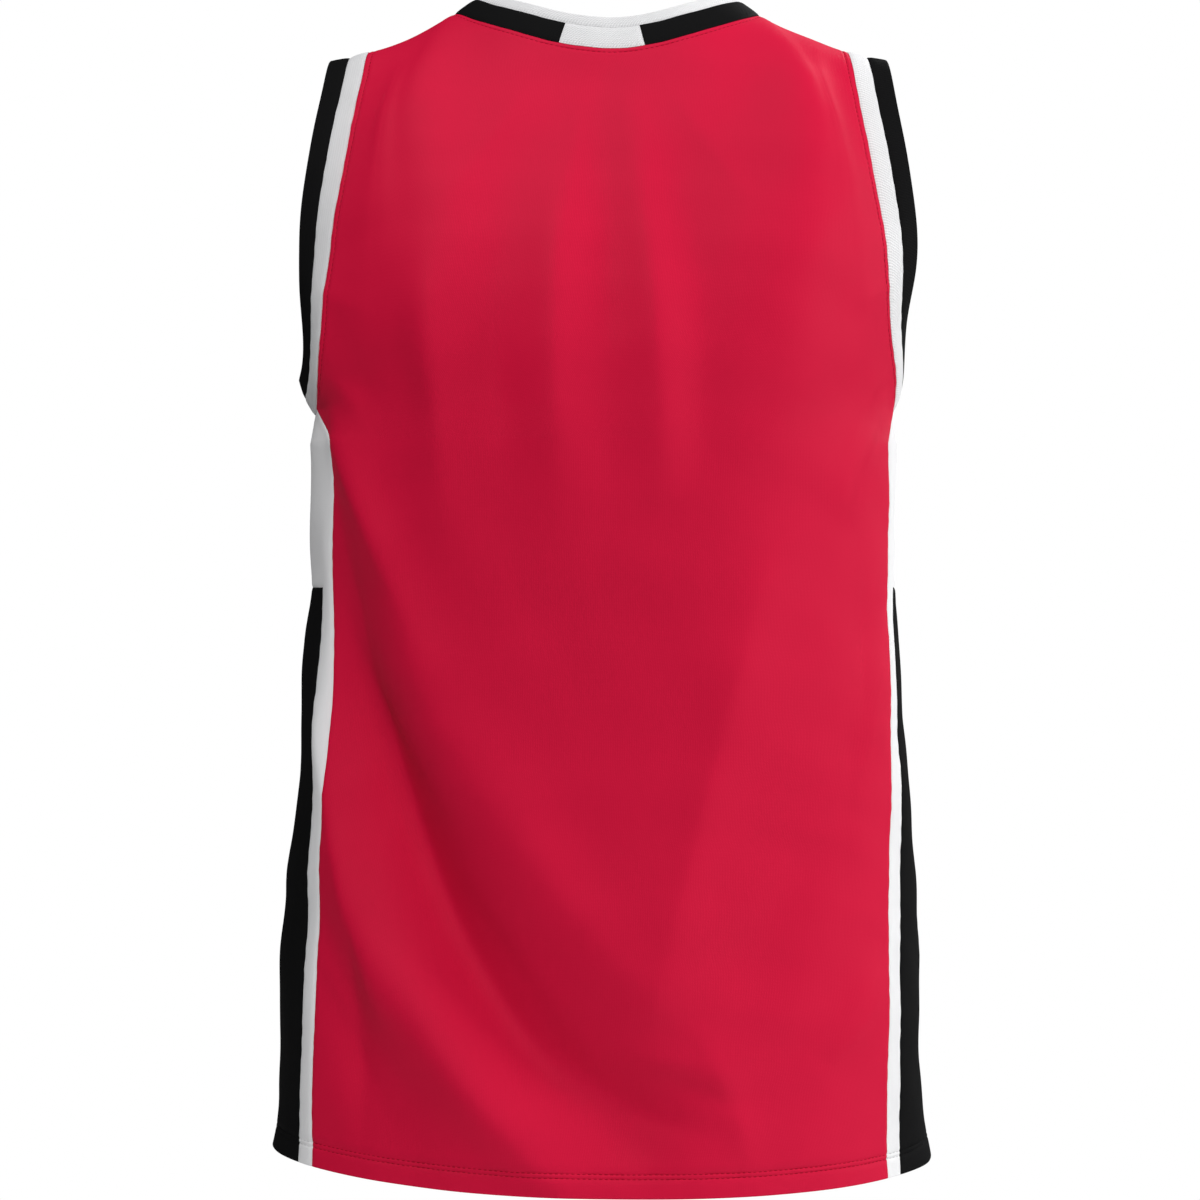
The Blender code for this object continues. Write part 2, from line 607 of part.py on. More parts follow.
def build_jersey():
    """Make every piece of the jersey."""
    grids = make_panels()
    pieces, colours = {}, {}
    for name in ("back_panel", "front_panel"):
        pieces[name] = open_piece(grids[name])
        colours[name] = "red"
    for side, word in ((1, "left"), (-1, "right")):
        grid = grids["side_panel_" + word]
        cells = np.ones((grid.shape[0] - 1, grid.shape[1] - 1), bool)
        cells[:HEM_CELLS, 1:-1] = False
        pieces["side_panel_" + word] = open_piece(grid, cells)
        pieces["side_insert_" + word] = open_piece(grid[:HEM_CELLS + 1, 1:-1])
        inner, outer = armhole_strips(side, armhole_seam(side, grids))
        pieces["armhole_inner_" + word] = ring_piece(inner)
        pieces["armhole_outer_" + word] = ring_piece(outer)
        colours["side_panel_" + word] = colours["armhole_inner_" + word] = "white"
        colours["side_insert_" + word] = colours["armhole_outer_" + word] = "black"
    edge, direction = neck_loop(grids)
    band = strip_rows(edge, direction, NECK_BAND)
    block = np.zeros(len(edge), bool)
    block[NECK_SIDE_CELLS:NECK_SIDE_CELLS + BLOCK_CELLS] = True
    pieces["neck_band"] = ring_piece(band, ~block)
    pieces["neck_block"] = ring_piece(band, block)
    pieces["neck_edge"] = ring_piece(strip_rows(band[-1], direction, NECK_EDGE))
    colours.update({"neck_band": "black", "neck_block": "white", "neck_edge": "white"})
    match_normals(pieces)
    for name, piece in pieces.items():
        make_wall(name, piece, colours[name])


for leftover in list(bpy.data.objects):
    bpy.data.objects.remove(leftover, do_unlink=True)
build_jersey()
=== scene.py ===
"""Basketball jersey: thin knit shells on the sewn form, with folds, seams, ribs and stitching.

The back faces +Y, the front -Y, the wearer's left is +X and +Z is up. The shapes repeat the cut of
the solids from the same sizes, on a finer grid: every shell is a surface of two parameters, moved
along its normals by folds, seam dips and a slight unevenness, then given the cloth's thickness.
"""
import math

import bpy
import numpy as np
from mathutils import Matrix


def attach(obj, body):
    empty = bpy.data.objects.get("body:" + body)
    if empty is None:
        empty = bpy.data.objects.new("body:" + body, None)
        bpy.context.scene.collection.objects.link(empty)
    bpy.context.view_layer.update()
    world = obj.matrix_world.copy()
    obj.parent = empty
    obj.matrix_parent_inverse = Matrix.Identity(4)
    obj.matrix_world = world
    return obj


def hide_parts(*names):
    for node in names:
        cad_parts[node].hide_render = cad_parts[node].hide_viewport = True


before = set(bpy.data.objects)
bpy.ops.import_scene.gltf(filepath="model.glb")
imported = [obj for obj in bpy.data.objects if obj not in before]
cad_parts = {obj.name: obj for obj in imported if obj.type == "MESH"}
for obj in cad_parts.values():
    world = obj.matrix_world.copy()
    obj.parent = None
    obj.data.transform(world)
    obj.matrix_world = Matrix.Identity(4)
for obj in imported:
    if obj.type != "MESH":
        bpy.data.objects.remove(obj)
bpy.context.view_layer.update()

# ---- the cut, in metres and degrees ----
ARM_STRIP = 0.0135           # width of each of the two strips round an armhole
NECK_BAND = 0.016            # width of the neck's black band
NECK_EDGE = 0.008            # width of the white strip on top of the neck band
SIDE_STRIP = 0.015           # white border between the side insert and each side seam
GUSSET_Z = -0.287            # level where the side panels reach their full width
INSERT_Z = -0.382            # level of the side inserts' top edge
HEM_Z = -0.7611              # mean height of the hem
HEM_TILT = 0.0046            # how far the hem rises towards the left side
HEM_ARCH = 0.0045            # how far it rises at both sides and falls at the middle of front and back
ROUNDNESS = 2.2              # exponent of the torso's superellipse, 2 being an ellipse

# The torso from the gusset level down. Seam is the angle from the side to a side seam, and turn is
# how far the whole cut has worked round the body towards the wearer's right.
TORSO_COLUMNS = ("z", "half_width", "front", "back", "centre", "seam", "turn")
TORSO = (
    (-0.287, 0.1957, 0.1260, 0.1235, -0.0022, 22.2, 5.4),
    (-0.333, 0.1948, 0.1270, 0.1200, -0.0014, 21.0, 5.8),
    (-0.382, 0.1948, 0.1260, 0.1160, -0.0020, 20.9, 3.8),
    (-0.441, 0.1995, 0.1240, 0.1130, -0.0010, 23.7, 3.0),
    (-0.508, 0.2039, 0.1220, 0.1130, -0.0020, 27.1, 2.5),
    (-0.578, 0.2087, 0.1220, 0.1170, -0.0012, 29.3, 1.7),
    (-0.637, 0.2128, 0.1240, 0.1220, 0.0000, 31.0, 1.3),
    (-0.700, 0.2137, 0.1270, 0.1260, 0.0002, 31.3, 0.8),
    (-0.740, 0.2155, 0.1290, 0.1280, 0.0003, 32.0, 0.6),
    (-0.770, 0.2215, 0.1315, 0.1315, 0.0002, 34.1, 0.4),
)

# The armhole seam, from the shoulder tip down to the gusset. Flare is how much of the inner and of
# the outer strip's width runs outward, away from the body; the rest runs in over the opening.
ARMHOLE_COLUMNS = ("z", "x", "y", "inner_left", "outer_left", "inner_right", "outer_right")
ARMHOLE = (
    (-0.0243, 0.1593, 0.000, 0.93, 0.98, 0.93, 0.98),
    (-0.0270, 0.1600, 0.012, 0.93, 0.98, 0.93, 0.98),
    (-0.0360, 0.1615, 0.024, 0.91, 0.98, 0.91, 0.98),
    (-0.0560, 0.1640, 0.038, 0.92, 0.98, 0.92, 0.98),
    (-0.1076, 0.1708, 0.058, 0.96, 0.93, 0.96, 0.93),
    (-0.1455, 0.1778, 0.067, 0.86, 0.90, 0.86, 0.90),
    (-0.1772, 0.1820, 0.071, 0.75, 0.76, 0.75, 0.74),
    (-0.2035, 0.1846, 0.069, 0.60, 0.52, 0.62, 0.40),
    (-0.2217, 0.1862, 0.063, 0.42, 0.34, 0.46, 0.16),
    (-0.2400, 0.1880, 0.053, 0.24, 0.24, 0.28, 0.04),
    (-0.2550, 0.1902, 0.039, 0.32, 0.26, 0.30, 0.00),
    (-0.2646, 0.1918, 0.022, 0.56, 0.28, 0.40, 0.00),
)
ARM_EVEN = 0.020             # reach over which the direction of the armhole strips is evened out
ARM_ROUND = 0.012            # reach over which the corners of their edges are rounded
ARMHOLE_SMOOTHING = 0.016    # reach over which the kinks between the table's rows are spread
ARMHOLE_CUT_IN = 0.004       # the front armhole is cut this much further in than the back one
ARMHOLE_SAMPLES = 641        # points along an armhole seam before it is parted into rows
GUSSET_DIP = 0.0030          # how far the middle of a gusset's top edge lies below its ends
# The upper half sways sideways: its shift at three shares of the way from the level where the sway
# starts down to the gusset level.
YOKE_TOP = -0.03
YOKE_LEVELS = (0.30, 0.65, 0.85)
YOKE_CENTRE = (-0.0055, -0.0011, -0.0030)
YOKE_TURN = 3.3              # twist at the gusset level, fading out towards the shoulders

NECK_CENTRE = -0.005
NECK_RADIUS = 0.1015         # half the width between the two neck points
STRAP_CURVE = 1.35           # exponent of the strap's rise from shoulder tip to neck point
NECK_POINT_RISE = 0.60       # how steeply the cloth climbs inward at a neck point
NECK_EVEN = 0.020            # reach over which the direction of the neck strips is evened out
# Neckline of the back (face 1) and of the front (face -1): how far it reaches in plan, how far it
# drops, the exponent of the drop across the width, and how steeply the cloth climbs at its middle.
NECKLINE = {
    1: {"reach": 0.055, "drop": 0.0302, "curve": 1.75, "rise": 2.30},
    -1: {"reach": 0.100, "drop": 0.1150, "curve": 2.70, "rise": 1.70},
}
EDGE_REACH = 0.45            # share of a panel's width that bends to meet its armhole edge
COLUMN_EASE = 1.4            # exponent that keeps a panel's rows level with its armhole seam
SLOPE_STEP = 0.01            # share of the lower torso over which its slope at the top is taken
CORNER_BEND = 1.2            # how much the cloth still runs forward where it reaches a neck point
CORNER_REACH = 45.0          # degrees of neckline over which that fades
# Handle lengths of a column's curve, at its foot and at its top: below a strap and at the middle
FULLNESS_STRAP = (1.35, 1.05)
FULLNESS_CENTRE = (1.22, 1.22)

# Shares of the cut that belong to each stretch, counted in the cells of the solids' grid
STRAP_CELLS = 5
NECK_SIDE_CELLS = 7
BLOCK_CELLS = 3              # across the white block at the middle of the back neck
BLOCK_SPAN = (71.7, 103.9)   # degrees of neckline at the block's two ends
HEM_CELLS = 18
BELT_CELLS = 4
YOKE_CELLS = 15
INSERT_CELLS = 5
GUSSET_SHARE = 0.13          # share of a panel's upper columns beside the gusset
PANEL_CELLS = 2 * (STRAP_CELLS + NECK_SIDE_CELLS) + BLOCK_CELLS
AT_INSERT = HEM_CELLS / (HEM_CELLS + BELT_CELLS)

# ---- the finer grid ----
FINE = 6                     # fine cells along each of the solids' cells
# Rough widths and lengths, which turn distances from an edge into shares of the grid
PANEL_WIDTH = 0.40
SIDE_WIDTH = 0.13
SKIRT_LENGTH = 0.475
YOKE_LENGTH = 0.40
STRIP_CELLS = 8              # cells across a strip
CROWDED = 0.3                # share of a cell within which an even line gives way to a finer one
# Distances of the extra lines of the grid: at both edges of a strip, at the foot of one with a
# finished edge, beside a stitched seam, at a plain edge, and above the hem
STRIP_LINES = (0.0004, 0.0009, 0.0016)
FOOT_LINES = (0.0006, 0.0014)
STITCH_BESIDE = (0.0007, 0.0015, 0.0024, 0.0031, 0.0038, 0.0046, 0.0060)
AT_EDGE = (0.00015, 0.0004, 0.0008, 0.0014, 0.0022, 0.0035)
HEM_ROWS = (0.00015, 0.0004, 0.0008, 0.0014, 0.0025, 0.0050, 0.0080, 0.0110, 0.0118, 0.0124, 0.0130,
            0.0140, 0.0148, 0.0154, 0.0160, 0.0172)

# ---- cloth ----
PANEL_CLOTH = 0.0012         # thickness of the panels' knit
RIB_CLOTH = 0.0019           # thickness of the doubled rib of the strips
HEM_TURNING = 0.0008         # the turned-up layer inside the hem
HEM_STITCHES = (0.0124, 0.0154)    # height of the two rows of hem stitching above the edge
NECK_STITCH = 0.0031         # distance of the stitching from the neck seam
ARM_STITCH = 0.0038          # distance of the stitching from the armhole seam
TURNING_STEP = 0.001         # distance over which the turned-up layer ends above the stitching
SEAM_DIP = 0.0006            # how deep the cloth is drawn in at a seam, and how far that reaches
SEAM_ROLL = 0.0015
STITCH_DIP = 0.00060         # the same along a row of stitches
STITCH_ROLL = 0.00075
SEAM_CLEARANCE = 0.00006     # how far each piece stays back from a seam
STRIP_CROWN = 0.0002         # how far the middle of a rib strip stands up
UNEVENNESS = 0.00022         # amplitude of the waves that make the cloth uneven, at the mean length
WAVE_SPAN = (0.030, 0.120)   # lengths of those waves, from the shortest to the longest
WAVE_MEAN = 0.060
WAVE_COUNT = 14
WAVE_PHASE = 1.7             # step of the phase from wave to wave, in radians
PUCKER = 0.35                # share by which the seam dips come and go
PUCKER_WAVES = ((310.0, 150.0, 420.0), (-190.0, 260.0, 530.0))     # radians to the metre along x, y, z

# Main folds, which the solids have too. Each runs along a curve from its start towards its bend and
# to its end, given by the angle round the body (0 left side, 90 back, 180 right side, 270 front) and
# the height. Depth is positive for a ridge and negative for a trough.
FOLD_COLUMNS = ("a0", "z0", "a1", "z1", "a2", "z2", "width", "depth")
FOLDS = (
    # back: the long trough from under the left arm down to the hem, and the ridges beside it
    (15, -0.374, 62, -0.545, 96, -0.722, 0.028, -0.0095),
    (34, -0.555, 61, -0.641, 84, -0.755, 0.024, 0.0075),
    (24, -0.255, 43, -0.325, 62, -0.475, 0.014, 0.0040),
    (20, -0.440, 35, -0.530, 54, -0.680, 0.013, 0.0035),
    (34, -0.610, 46, -0.680, 60, -0.745, 0.022, -0.0045),
    # back: soft folds that hang from the shoulders
    (54, -0.100, 60, -0.200, 58, -0.330, 0.020, 0.0024),
    (69, -0.100, 73, -0.200, 72, -0.340, 0.018, -0.0024),
    (81, -0.070, 82, -0.200, 82, -0.340, 0.018, 0.0020),
    (92, -0.060, 92, -0.200, 92, -0.340, 0.018, -0.0024),
    (99, -0.080, 99, -0.200, 102, -0.320, 0.014, 0.0022),
    (109, -0.100, 108, -0.200, 108, -0.330, 0.017, -0.0024),
    (133, -0.120, 124, -0.220, 120, -0.330, 0.026, 0.0030),
    (28, -0.130, 38, -0.210, 56, -0.300, 0.028, -0.0040),
    # back: the long ridge from under the right arm towards the middle of the hem, and its trough
    (135, -0.310, 104, -0.430, 92, -0.665, 0.030, 0.0050),
    (162, -0.240, 146, -0.290, 138, -0.350, 0.014, 0.0035),
    (158, -0.390, 150, -0.460, 142, -0.540, 0.018, 0.0035),
    (128, -0.530, 121, -0.590, 117, -0.660, 0.024, -0.0035),
    (148, -0.610, 140, -0.650, 130, -0.690, 0.016, 0.0030),
    # front
    (212, -0.330, 232, -0.500, 282, -0.700, 0.030, -0.0070),
    (216, -0.470, 236, -0.620, 275, -0.735, 0.026, 0.0050),
    (332, -0.320, 312, -0.440, 296, -0.600, 0.028, -0.0060),
    (326, -0.430, 310, -0.560, 300, -0.710, 0.024, 0.0045),
    (246, -0.160, 248, -0.230, 244, -0.330, 0.024, -0.0035),
    (296, -0.150, 294, -0.230, 298, -0.340, 0.022, -0.0035),
    (270, -0.200, 272, -0.300, 268, -0.420, 0.026, 0.0030),
    (338, -0.550, 332, -0.640, 320, -0.740, 0.022, -0.0040),
    (200, -0.560, 206, -0.650, 214, -0.740, 0.022, 0.0040),
)

# Creases, with a crest that is sharper and may lean: lean is the share by which the crease is wider
# on the left of its run and narrower on the right, seen from outside.
CREASE_COLUMNS = ("a0", "z0", "a1", "z1", "a2", "z2", "width", "depth", "lean")
CREASES = (
    # back: the steeper parts of the long trough, and of the ridges on both sides of it
    (25, -0.330, 57, -0.664, 103, -0.752, 0.0250, -0.0155, 0.0),
    (25, -0.262, 57, -0.658, 103, -0.744, 0.0160, -0.0095, 0.0),
    (24, -0.320, 25, -0.430, 30, -0.560, 0.0120, 0.0030, 0.0),
    (80, -0.655, 90, -0.722, 114, -0.726, 0.0150, -0.0050, 0.3),
    (92, -0.672, 102, -0.682, 116, -0.700, 0.0110, 0.0022, 0.0),
    (28, -0.262, 76, -0.600, 116, -0.690, 0.0220, 0.0050, 0.0),
    (27, -0.215, 34, -0.255, 44, -0.285, 0.0140, 0.0022, 0.0),
    (31, -0.540, 32, -0.650, 33, -0.790, 0.0160, 0.0030, 0.0),
    (34, -0.560, 58, -0.655, 80, -0.770, 0.0180, 0.0028, 0.0),
    (56, -0.640, 70, -0.720, 90, -0.785, 0.0160, 0.0055, 0.0),
    (42, -0.560, 45, -0.660, 47, -0.760, 0.0100, -0.0028, 0.0),
    # back: the same for the long ridge on the right
    (124, -0.345, 108, -0.500, 97, -0.690, 0.0160, 0.0045, 0.2),
    (104, -0.655, 113, -0.690, 117, -0.775, 0.0120, 0.0022, 0.0),
    (148, -0.360, 147, -0.420, 143, -0.480, 0.0100, -0.0012, 0.0),
    # back: the crests and hollows of the folds that hang from the shoulders
    (57, -0.150, 59, -0.240, 61, -0.370, 0.0130, 0.0060, 0.0),
    (22, -0.040, 32, -0.100, 42, -0.160, 0.0300, 0.0035, 0.0),
    (28, -0.130, 38, -0.210, 56, -0.300, 0.0280, 0.0020, 0.0),
    (70, -0.150, 71, -0.240, 72, -0.350, 0.0110, -0.0022, 0.0),
    (80, -0.110, 81, -0.220, 82, -0.360, 0.0105, 0.0032, 0.0),
    (92, -0.110, 92, -0.240, 92, -0.370, 0.0100, -0.0012, 0.0),
    (100, -0.130, 100, -0.230, 102, -0.340, 0.0090, 0.0010, 0.0),
    (110, -0.130, 109, -0.220, 108, -0.340, 0.0110, -0.0012, 0.0),
    # back, beside the long trough
    (24, -0.262, 42, -0.325, 60, -0.455, 0.0070, 0.0016, 0.3),
    (20, -0.445, 35, -0.532, 53, -0.672, 0.0065, 0.0015, 0.3),
    (30, -0.395, 47, -0.470, 66, -0.560, 0.0090, -0.0016, -0.4),
    (58, -0.545, 74, -0.610, 90, -0.705, 0.0100, -0.0016, -0.4),
    (30, -0.600, 44, -0.655, 58, -0.735, 0.0080, 0.0012, 0.2),
    # back, at the armholes and under the arms
    (28, -0.185, 36, -0.200, 48, -0.205, 0.0070, 0.0009, 0.2),
    (26, -0.225, 34, -0.250, 46, -0.262, 0.0080, -0.0010, 0.2),
    (154, -0.180, 146, -0.198, 136, -0.202, 0.0070, 0.0009, -0.2),
    (158, -0.232, 148, -0.262, 140, -0.300, 0.0070, 0.0012, -0.3),
    (160, -0.262, 151, -0.300, 140, -0.322, 0.0080, -0.0012, 0.3),
    (155, -0.420, 148, -0.470, 140, -0.520, 0.0080, 0.0010, 0.2),
    (150, -0.595, 142, -0.632, 131, -0.655, 0.0070, -0.0009, 0.2),
    (146, -0.640, 137, -0.668, 128, -0.700, 0.0075, 0.0010, 0.2),
    # back, middle and shoulders
    (99, -0.110, 99, -0.190, 101, -0.280, 0.0060, 0.0006, 0.0),
    (84, -0.060, 83, -0.110, 82, -0.170, 0.0070, 0.0005, 0.0),
    (112, -0.055, 118, -0.100, 122, -0.150, 0.0080, 0.0007, 0.2),
    (66, -0.050, 62, -0.095, 58, -0.150, 0.0080, 0.0007, -0.2),
    (100, -0.690, 108, -0.705, 120, -0.715, 0.0100, -0.0015, 0.3),
    # front: a long trough from the left side to the hem, with ridges and lesser folds round it
    (333, -0.310, 306, -0.610, 262, -0.740, 0.0230, -0.0110, 0.0),
    (332, -0.262, 300, -0.560, 252, -0.680, 0.0210, 0.0050, 0.0),
    (326, -0.540, 320, -0.650, 316, -0.780, 0.0150, 0.0040, 0.0),
    (207, -0.290, 222, -0.360, 238, -0.500, 0.0140, 0.0045, -0.3),
    (206, -0.440, 220, -0.560, 244, -0.690, 0.0140, -0.0050, 0.3),
    (232, -0.600, 238, -0.690, 240, -0.780, 0.0140, 0.0035, 0.0),
    (288, -0.600, 284, -0.690, 280, -0.780, 0.0120, 0.0030, 0.2),
    # front: folds that hang from the shoulders
    (232, -0.120, 237, -0.220, 241, -0.340, 0.0140, 0.0038, 0.0),
    (252, -0.180, 254, -0.250, 257, -0.360, 0.0110, -0.0022, 0.0),
    (263, -0.185, 265, -0.270, 268, -0.380, 0.0110, 0.0032, 0.0),
    (281, -0.180, 280, -0.250, 278, -0.340, 0.0100, -0.0016, 0.0),
    (291, -0.170, 289, -0.240, 286, -0.360, 0.0110, 0.0030, 0.0),
    (309, -0.110, 304, -0.210, 299, -0.330, 0.0150, 0.0036, 0.0),
    # front, at the armholes and under the arms
    (214, -0.200, 226, -0.215, 238, -0.210, 0.0080, 0.0012, 0.2),
    (326, -0.200, 314, -0.212, 302, -0.208, 0.0080, 0.0012, -0.2),
    (334, -0.262, 320, -0.315, 308, -0.410, 0.0085, 0.0016, 0.3),
    # sides
    (352, -0.300, 356, -0.380, 12, -0.440, 0.0090, -0.0010, 0.2),
    (348, -0.500, 358, -0.560, 14, -0.600, 0.0090, 0.0010, 0.2),
    (186, -0.310, 180, -0.380, 168, -0.430, 0.0090, -0.0010, 0.2),
    (190, -0.560, 182, -0.620, 170, -0.650, 0.0090, 0.0010, 0.2),
)
# How folds and creases fall off: the power in the bell across them, the power of the sine that fades
# them along their run, and the share of the run at each end where the fading stops.
FOLD_SHAPE = {"bell": 2.0, "fade": 0.7, "ends": 0.06}
CREASE_SHAPE = {"bell": 1.6, "fade": 1.2, "ends": 0.0}
FOLD_SAMPLES = 24            # points along each fold's curve
FOLD_REACH = 4.8             # how many widths away from its curve a fold is worked out
SOFT_REACH = 0.014           # how far the kinks in a panel are spread
SOFT_EDGE = 0.030            # distance from a panel's edges over which that sets in
BELL_AT_END = 0.35           # a bell's reach near an end, as a share of the distance to that end


# ---- numbers to shapes ----
def table(columns, rows):
    """Turn rows of numbers into one array for each named column."""
    return dict(zip(columns, np.array(rows, float).T))


def smooth(knots, values, at):
    """Cubic Hermite curve through the values, with finite-difference slopes, held at both ends."""
    slopes = np.gradient(values, knots)
    low = np.clip(np.searchsorted(knots, at) - 1, 0, len(knots) - 2)
    step = knots[low + 1] - knots[low]
    t = np.clip((at - knots[low]) / step, 0.0, 1.0)
    start = (1 + 2 * t) * (1 - t) ** 2 * values[low] + t * (1 - t) ** 2 * step * slopes[low]
    end = t * t * (3 - 2 * t) * values[low + 1] - t * t * (1 - t) * step * slopes[low + 1]
    return start + end


def unit(vectors):
    """Scale vectors to length 1."""
    return vectors / np.maximum(np.linalg.norm(vectors, axis=-1, keepdims=True), 1e-12)


def stack(x, y, z):
    """Join coordinates of any matching shapes into points."""
    return np.stack(np.broadcast_arrays(x, y, z), axis=-1)


def mix(start, end, share):
    """Straight mix of two arrays of points."""
    return start + (end - start) * np.asarray(share)[..., None]


def shares(cells, *finer):
    """Even shares from 0 to 1, with the given finer ones put in place of those close to them."""
    even = np.linspace(0.0, 1.0, cells + 1)
    extra = np.unique(np.round(np.concatenate([np.ravel(group) for group in finer]), 7))
    extra = extra[(extra > 1e-6) & (extra < 1 - 1e-6)]
    near = np.abs(even[:, None] - extra[None]).min(axis=1) < CROWDED / cells
    keep = even[~near | (even == 0.0) | (even == 1.0)]
    return np.unique(np.concatenate([keep, extra]))


def both_ends(distances, width):
    """Shares at the given distances from both ends of a width."""
    share = np.array(distances) / width
    return np.concatenate([share, 1 - share])


def beside(share, distances, width):
    """Shares at a line and at the given distances on both sides of it."""
    offsets = np.array(distances) / width
    return np.concatenate([[share], share - offsets, share + offsets])


TORSO_TABLE = table(TORSO_COLUMNS, TORSO[::-1])
ARMHOLE_TABLE = table(ARMHOLE_COLUMNS, ARMHOLE)

BLOCK_START = (STRAP_CELLS + NECK_SIDE_CELLS) / PANEL_CELLS
BLOCK_END = BLOCK_START + BLOCK_CELLS / PANEL_CELLS
STRAP_SHARE = STRAP_CELLS / PANEL_CELLS
PANEL_COLUMNS = shares(PANEL_CELLS * FINE, both_ends(STITCH_BESIDE, PANEL_WIDTH),
                       [STRAP_SHARE, 1 - STRAP_SHARE],
                       beside(BLOCK_START, AT_EDGE[3:5], PANEL_WIDTH),
                       beside(BLOCK_END, AT_EDGE[3:5], PANEL_WIDTH))
ON_NECK = (PANEL_COLUMNS > STRAP_SHARE - 1e-6) & (PANEL_COLUMNS < 1 - STRAP_SHARE + 1e-6)
SKIRT_ROWS = shares((HEM_CELLS + BELT_CELLS) * FINE, np.array(HEM_ROWS) / SKIRT_LENGTH,
                    beside(AT_INSERT, AT_EDGE[2:], SKIRT_LENGTH))
GUSSET_ROWS = np.linspace(0.0, 1.0, 2 * FINE + 1)[1:]
ARM_ROWS = GUSSET_SHARE + (1 - GUSSET_SHARE) * shares(
    YOKE_CELLS * FINE, 1 - np.array(STITCH_BESIDE) / YOKE_LENGTH)[1:]
INSERT_SHARE = 1 / (INSERT_CELLS + 2)
SIDE_COLUMNS = shares((INSERT_CELLS + 2) * FINE, both_ends(AT_EDGE[2:], SIDE_WIDTH),
                      beside(INSERT_SHARE, AT_EDGE[2:5], SIDE_WIDTH),
                      beside(1 - INSERT_SHARE, AT_EDGE[2:5], SIDE_WIDTH))
INSERT_FIRST = int(np.argmin(np.abs(SIDE_COLUMNS - INSERT_SHARE)))
INSERT_LAST = int(np.argmin(np.abs(SIDE_COLUMNS - 1 + INSERT_SHARE)))
BELOW_ARM = len(SKIRT_ROWS) + len(GUSSET_ROWS)       # rows of a panel below its armhole


def torso(name, z):
    """One column of the torso table at any height."""
    return smooth(TORSO_TABLE["z"], TORSO_TABLE[name], z)


def torso_point(angle, z):
    """Superellipse ring at height z: x follows cos and y follows sin, both to the power 2 / n."""
    power = 2.0 / ROUNDNESS
    cosine, sine = np.cos(angle), np.sin(angle)
    depth = np.where(sine > 0, torso("back", z), torso("front", z))
    x = torso("centre", z) + torso("half_width", z) * np.sign(cosine) * np.abs(cosine) ** power
    return stack(x, depth * np.sign(sine) * np.abs(sine) ** power, z)


def side_share(z, distance):
    """Angle that a distance along the ring takes up at the side seam, in degrees."""
    seam = np.radians(torso("seam", z))
    speed = np.hypot(torso("half_width", z) * np.sin(seam), torso("back", z) * np.cos(seam))
    return np.degrees(distance / speed)


def skirt(u, w, column_angle):
    """Lower torso: w runs 0 to 1 from the hem to the gusset level, u across the piece.

    column_angle(u, z) gives the column's angle. The hem's height is a mean, plus a tilt that
    follows cos of the angle, plus an arch that follows cos of twice the angle.
    """
    near_hem = np.radians(column_angle(u, np.full_like(u, HEM_Z)))
    hem = HEM_Z + HEM_TILT * np.cos(near_hem) + HEM_ARCH * np.cos(2 * near_hem)
    below = hem + (INSERT_Z - hem) * w / AT_INSERT
    above = INSERT_Z + (GUSSET_Z - INSERT_Z) * (w - AT_INSERT) / (1 - AT_INSERT)
    z = np.where(w < AT_INSERT, below, above)
    return torso_point(np.radians(column_angle(u, z)), z)


def panel_angle(face):
    """Column angles of the back (face 1) or the front (face -1), seam to seam."""
    start = 0.0 if face > 0 else 180.0
    return lambda u, z: start + torso("turn", z) + torso("seam", z) * (1 - 2 * u) + 180.0 * u


def side_angle(side):
    """Column angles of a side panel, from its first seam to its second."""
    middle = 0.0 if side > 0 else 180.0

    def angle(u, z):
        # the outer columns hold the white strips, and the rest of the width is shared evenly
        edge = side_share(z, SIDE_STRIP)
        seam = torso("seam", z)
        cells = np.abs(2 * u - 1) * (INSERT_CELLS / 2 + 1)
        inner = cells / (INSERT_CELLS / 2) * (seam - edge)
        outer = seam - edge + (cells - INSERT_CELLS / 2) * edge
        offset = np.where(cells < INSERT_CELLS / 2, inner, outer)
        return middle + torso("turn", z) + np.sign(u - 0.5) * offset

    return angle


# ---- the upper half of front and back ----
def yoke_shift(points):
    """Move points of the upper edges with the garment's sway and its fading twist."""
    height = np.clip((YOKE_TOP - points[..., 2]) / (YOKE_TOP - GUSSET_Z), 0.0, 1.0)
    turn = np.radians(YOKE_TURN) * height
    centre = np.interp(height, YOKE_LEVELS, YOKE_CENTRE)
    x = centre + points[..., 0] * np.cos(turn) - points[..., 1] * np.sin(turn)
    y = points[..., 1] * np.cos(turn) + points[..., 0] * np.sin(turn)
    return stack(x, y, points[..., 2])


def armhole_curve(side, face):
    """Points of the armhole seam from the gusset up to the shoulder tip, with their arc shares."""
    rows = np.arange(len(ARMHOLE), dtype=float)
    at = np.linspace(rows[-1], 0.0, ARMHOLE_SAMPLES)
    z, x, y = (smooth(rows, ARMHOLE_TABLE[name], at) for name in ("z", "x", "y"))
    cut_in = ARMHOLE_CUT_IN * np.sin(np.pi * at / rows[-1]) if face < 0 else 0.0
    points = yoke_shift(stack(side * (x - cut_in), face * y, z))
    points = bell_average(points, run(points, 0), ARMHOLE_SMOOTHING)
    along = run(points, 0)
    return points, along / along[-1]


def armhole_edge(side, face, v):
    """Outer edge of a panel's upper half: straight up the gusset seam, then along the armhole."""
    points, along_shares = armhole_curve(side, face)
    seam_u = np.array([0.0 if side == face else 1.0])
    foot = skirt(seam_u, np.ones(1), panel_angle(face))[0]
    gusset = mix(foot, points[0], np.clip(v / GUSSET_SHARE, 0.0, 1.0))
    along = np.clip((v - GUSSET_SHARE) / (1 - GUSSET_SHARE), 0.0, 1.0)
    arm = np.stack([np.interp(along, along_shares, points[:, axis]) for axis in range(3)], axis=-1)
    return np.where((v < GUSSET_SHARE)[..., None], gusset, arm)


